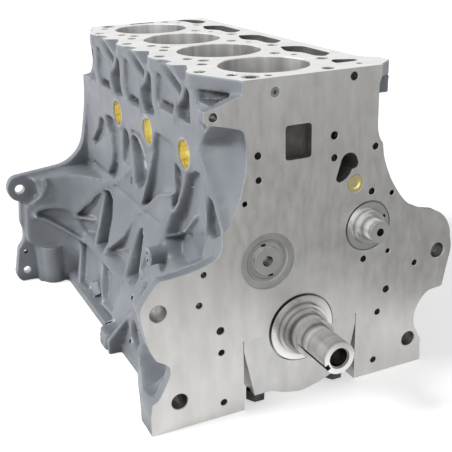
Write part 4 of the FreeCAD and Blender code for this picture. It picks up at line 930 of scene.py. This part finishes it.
# At each main web two cap bolts from below and two head bolts from the deck; the end ones on the left
# are wider at the deck for the hollow dowels
CAP_BOLT = 47.5
HEAD_BOLT = 41.3
HEAD_BOLT_HOLE = 5.5
DOWEL_SEAT = [(3, 12), (0, 9), (-0.8, 8.02), (-12, 8.02), (-12, HEAD_BOLT_HOLE), (-70, HEAD_BOLT_HOLE)]
for middle in MAINS:
    for side in (-1, 1):
        holes.append(drilled((side * CAP_BOLT, middle, 0), 2, 6.3, 49, 0.4))
        place = (ROW_X + side * HEAD_BOLT, middle, DECK)
        if side < 0 and middle in (MAINS[0], MAINS[4]):
            holes.append(turned_tool(place, 2, DOWEL_SEAT, 48))
        else:
            holes.append(drilled(place, 2, HEAD_BOLT_HOLE, 70, 0.9, -1))

# Beside each cylinder the outer head bolts and the deck's water and oil holes, as right, rear and radius,
# then the two oil holes near the front
OUTER_HEAD_BOLTS = [-76.7, 59]
DECK_HOLES = [(-58, -35, 5), (-58, 33, 5), (47, 33, 3)]
FRONT_DECK_HOLES = [(-30, 11.7, 3.5), (74, 18, 3.0)]
DECK_HOLE_DEPTH = 24
for middle in CYLINDERS:
    for right in OUTER_HEAD_BOLTS:
        holes.append(drilled((right, middle - 3, DECK), 2, HEAD_BOLT_HOLE, 40, 0.9, -1))
    for right, rear, radius in DECK_HOLES:
        holes.append(drilled((right, middle + rear, DECK), 2, radius, DECK_HOLE_DEPTH, 0.5, -1))
for right, rear, radius in FRONT_DECK_HOLES:
    holes.append(drilled((right, rear, DECK), 2, radius, DECK_HOLE_DEPTH, 0.5, -1))
machine(casting, joined_tool("bolt_holes", holes, threaded))

# Two small holes in the sensor boss, one over the other
SENSOR_HOLES_UP = [42.5, 51.5]
sensor_holes = [turned_tool((-114, SENSOR_BOSS[0], height), 0, [(0, 2.1), (14, 2.1)], 16)
                for height in SENSOR_HOLES_UP]
machine(casting, joined_tool("sensor_holes", sensor_holes, cored))

# Small holes in the left wall, as rear, height and depth from outside, and the left ear's second hole
WALL_HOLES = [(316, -46, 44), (325, -64, 34), (275, -60, 34), (220, -63, 34), (163, -61, 20), (112, -62, 20),
              (189, -19.5, 36)]
WALL_HOLE = 2.8
EAR_HOLE_PLACE = (-191, LENGTH + 1, -37)
EAR_HOLE = 3.2
wall_holes = [turned_tool((-150, rear, height), 0, [(0, WALL_HOLE), (depth, WALL_HOLE)], 16)
              for rear, height, depth in WALL_HOLES]
wall_holes.append(turned_tool(EAR_HOLE_PLACE, 1, [(0, EAR_HOLE), (-30, EAR_HOLE)], 24))
machine(casting, joined_tool("wall_holes", wall_holes, cored))

# Slot in the deck behind the last cylinder
REAR_SLOT = [(-15, LENGTH - 12), (20, LENGTH - 12), (20, LENGTH - 5), (-15, LENGTH - 5)]
rear_slot = drawn_tool(rounded(REAR_SLOT, 2.5), 2, DECK - 26, DECK + 1)
machine(casting, joined_tool("deck_rear_slot", [rear_slot], cored))

casting.data.transform(Matrix.Scale(METRES, 4))
casting.data.shade_smooth()
casting.data.set_sharp_from_angle(angle=math.radians(35))
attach(casting, "block")
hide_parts("cylinder_block")


# Crankshaft
# A steel forging, ground on its journals and pins and turned on its stepped nose, which has a keyway for
# the drive. It turns in the five main bearings.
def finish_node(name, material):
    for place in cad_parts[name].material_slots:
        place.material = material


crank_metal = surface("turned_crank_steel", (0.30, 0.295, 0.29), (0.86, 0.85, 0.84), 1.0, 0.2,
                      (90, (0.1, 1, 0.1)), (900, (0.02, 1, 0.02), 0.03), 0.04)
# Painted shade darkens the crankshaft's inner corners between its steps
painted_shade_in_corners(crank_metal, 0.016, 0.2)
finish_node("crankshaft", crank_metal)


# Camshaft and auxiliary shaft
# Both are steel, turned on the nose and ground where they run in the bushes pressed into the block. The
# left one ends nearly flush with the front face.
shaft_metal = surface("turned_shaft_steel", (0.42, 0.42, 0.41), (0.88, 0.88, 0.87), 1.0, 0.22,
                      (90, (0.1, 1, 0.1)), (900, (0.02, 1, 0.02), 0.03), 0.04)
# Painted shade darkens the shafts' inner corners between their steps
painted_shade_in_corners(shaft_metal, 0.006, 0.35)
finish_node("camshaft", shaft_metal)
finish_node("auxiliary_shaft", shaft_metal)


# Main bearing caps and their bolts
# The caps are cast iron, milled on their faces and bored in line with the block. Two dark steel bolts
# hold each one up in its slot.
cap_iron = surface("cap_iron", (0.52, 0.515, 0.505), (0.62, 0.615, 0.605), 0.9, 0.4, (60, (1, 1, 0.4)),
                   (900, (1, 1, 0.25), 0.25), 0.06)
dark_steel = surface("dark_bolt_steel", (0.05, 0.05, 0.055), (0.10, 0.10, 0.11), 0.8, 0.4)
for number in range(1, 6):
    finish_node(f"main_cap_{number}", cap_iron)
finish_node("main_cap_bolts", dark_steel)


# Bearing shells, thrust washers and bushes
# The shells and bushes are steel strip lined with soft bearing metal, laid in the main bore or pressed
# into the webs. The pilot bush is bronze, pressed into the crankshaft's rear end.
bearing = surface("bearing_metal", (0.36, 0.35, 0.34), (0.46, 0.45, 0.43), 0.9, 0.35)
bronze = surface("bronze", (0.36, 0.24, 0.12), (0.46, 0.31, 0.17), 0.9, 0.35)
for number in range(1, 6):
    finish_node(f"main_bearing_upper_{number}", bearing)
    finish_node(f"main_bearing_lower_{number}", bearing)
    finish_node(f"camshaft_bush_{number}", bearing)
for name in ("thrust_washers", "auxiliary_bush_front", "auxiliary_bush_rear"):
    finish_node(name, bearing)
finish_node("pilot_bush", bronze)


# Plugs and dowels
# The core plugs are cups pressed from brass sheet and driven into round seats. The other plugs are steel,
# screwed or pressed in, and the hollow steel dowels stand in the deck's end bolt holes.
# The brass's upright streaks of lighter tone are painted highlights
brass = surface("pressed_brass", (0.82, 0.70, 0.30), (1.0, 0.95, 0.62), 1.0, 0.2, (70, (1, 1, 0.15)))
plug_steel = surface("plug_steel", (0.28, 0.28, 0.29), (0.38, 0.38, 0.39), 0.9, 0.4)
for name in ("core_plug_left_1", "core_plug_left_2", "core_plug_left_3", "core_plug_rear",
             "front_brass_plug"):
    finish_node(name, brass)
for name in ("camshaft_rear_plug", "oil_gallery_plug", "front_screw_plug", "deck_dowel_front",
             "deck_dowel_rear"):
    finish_node(name, plug_steel)
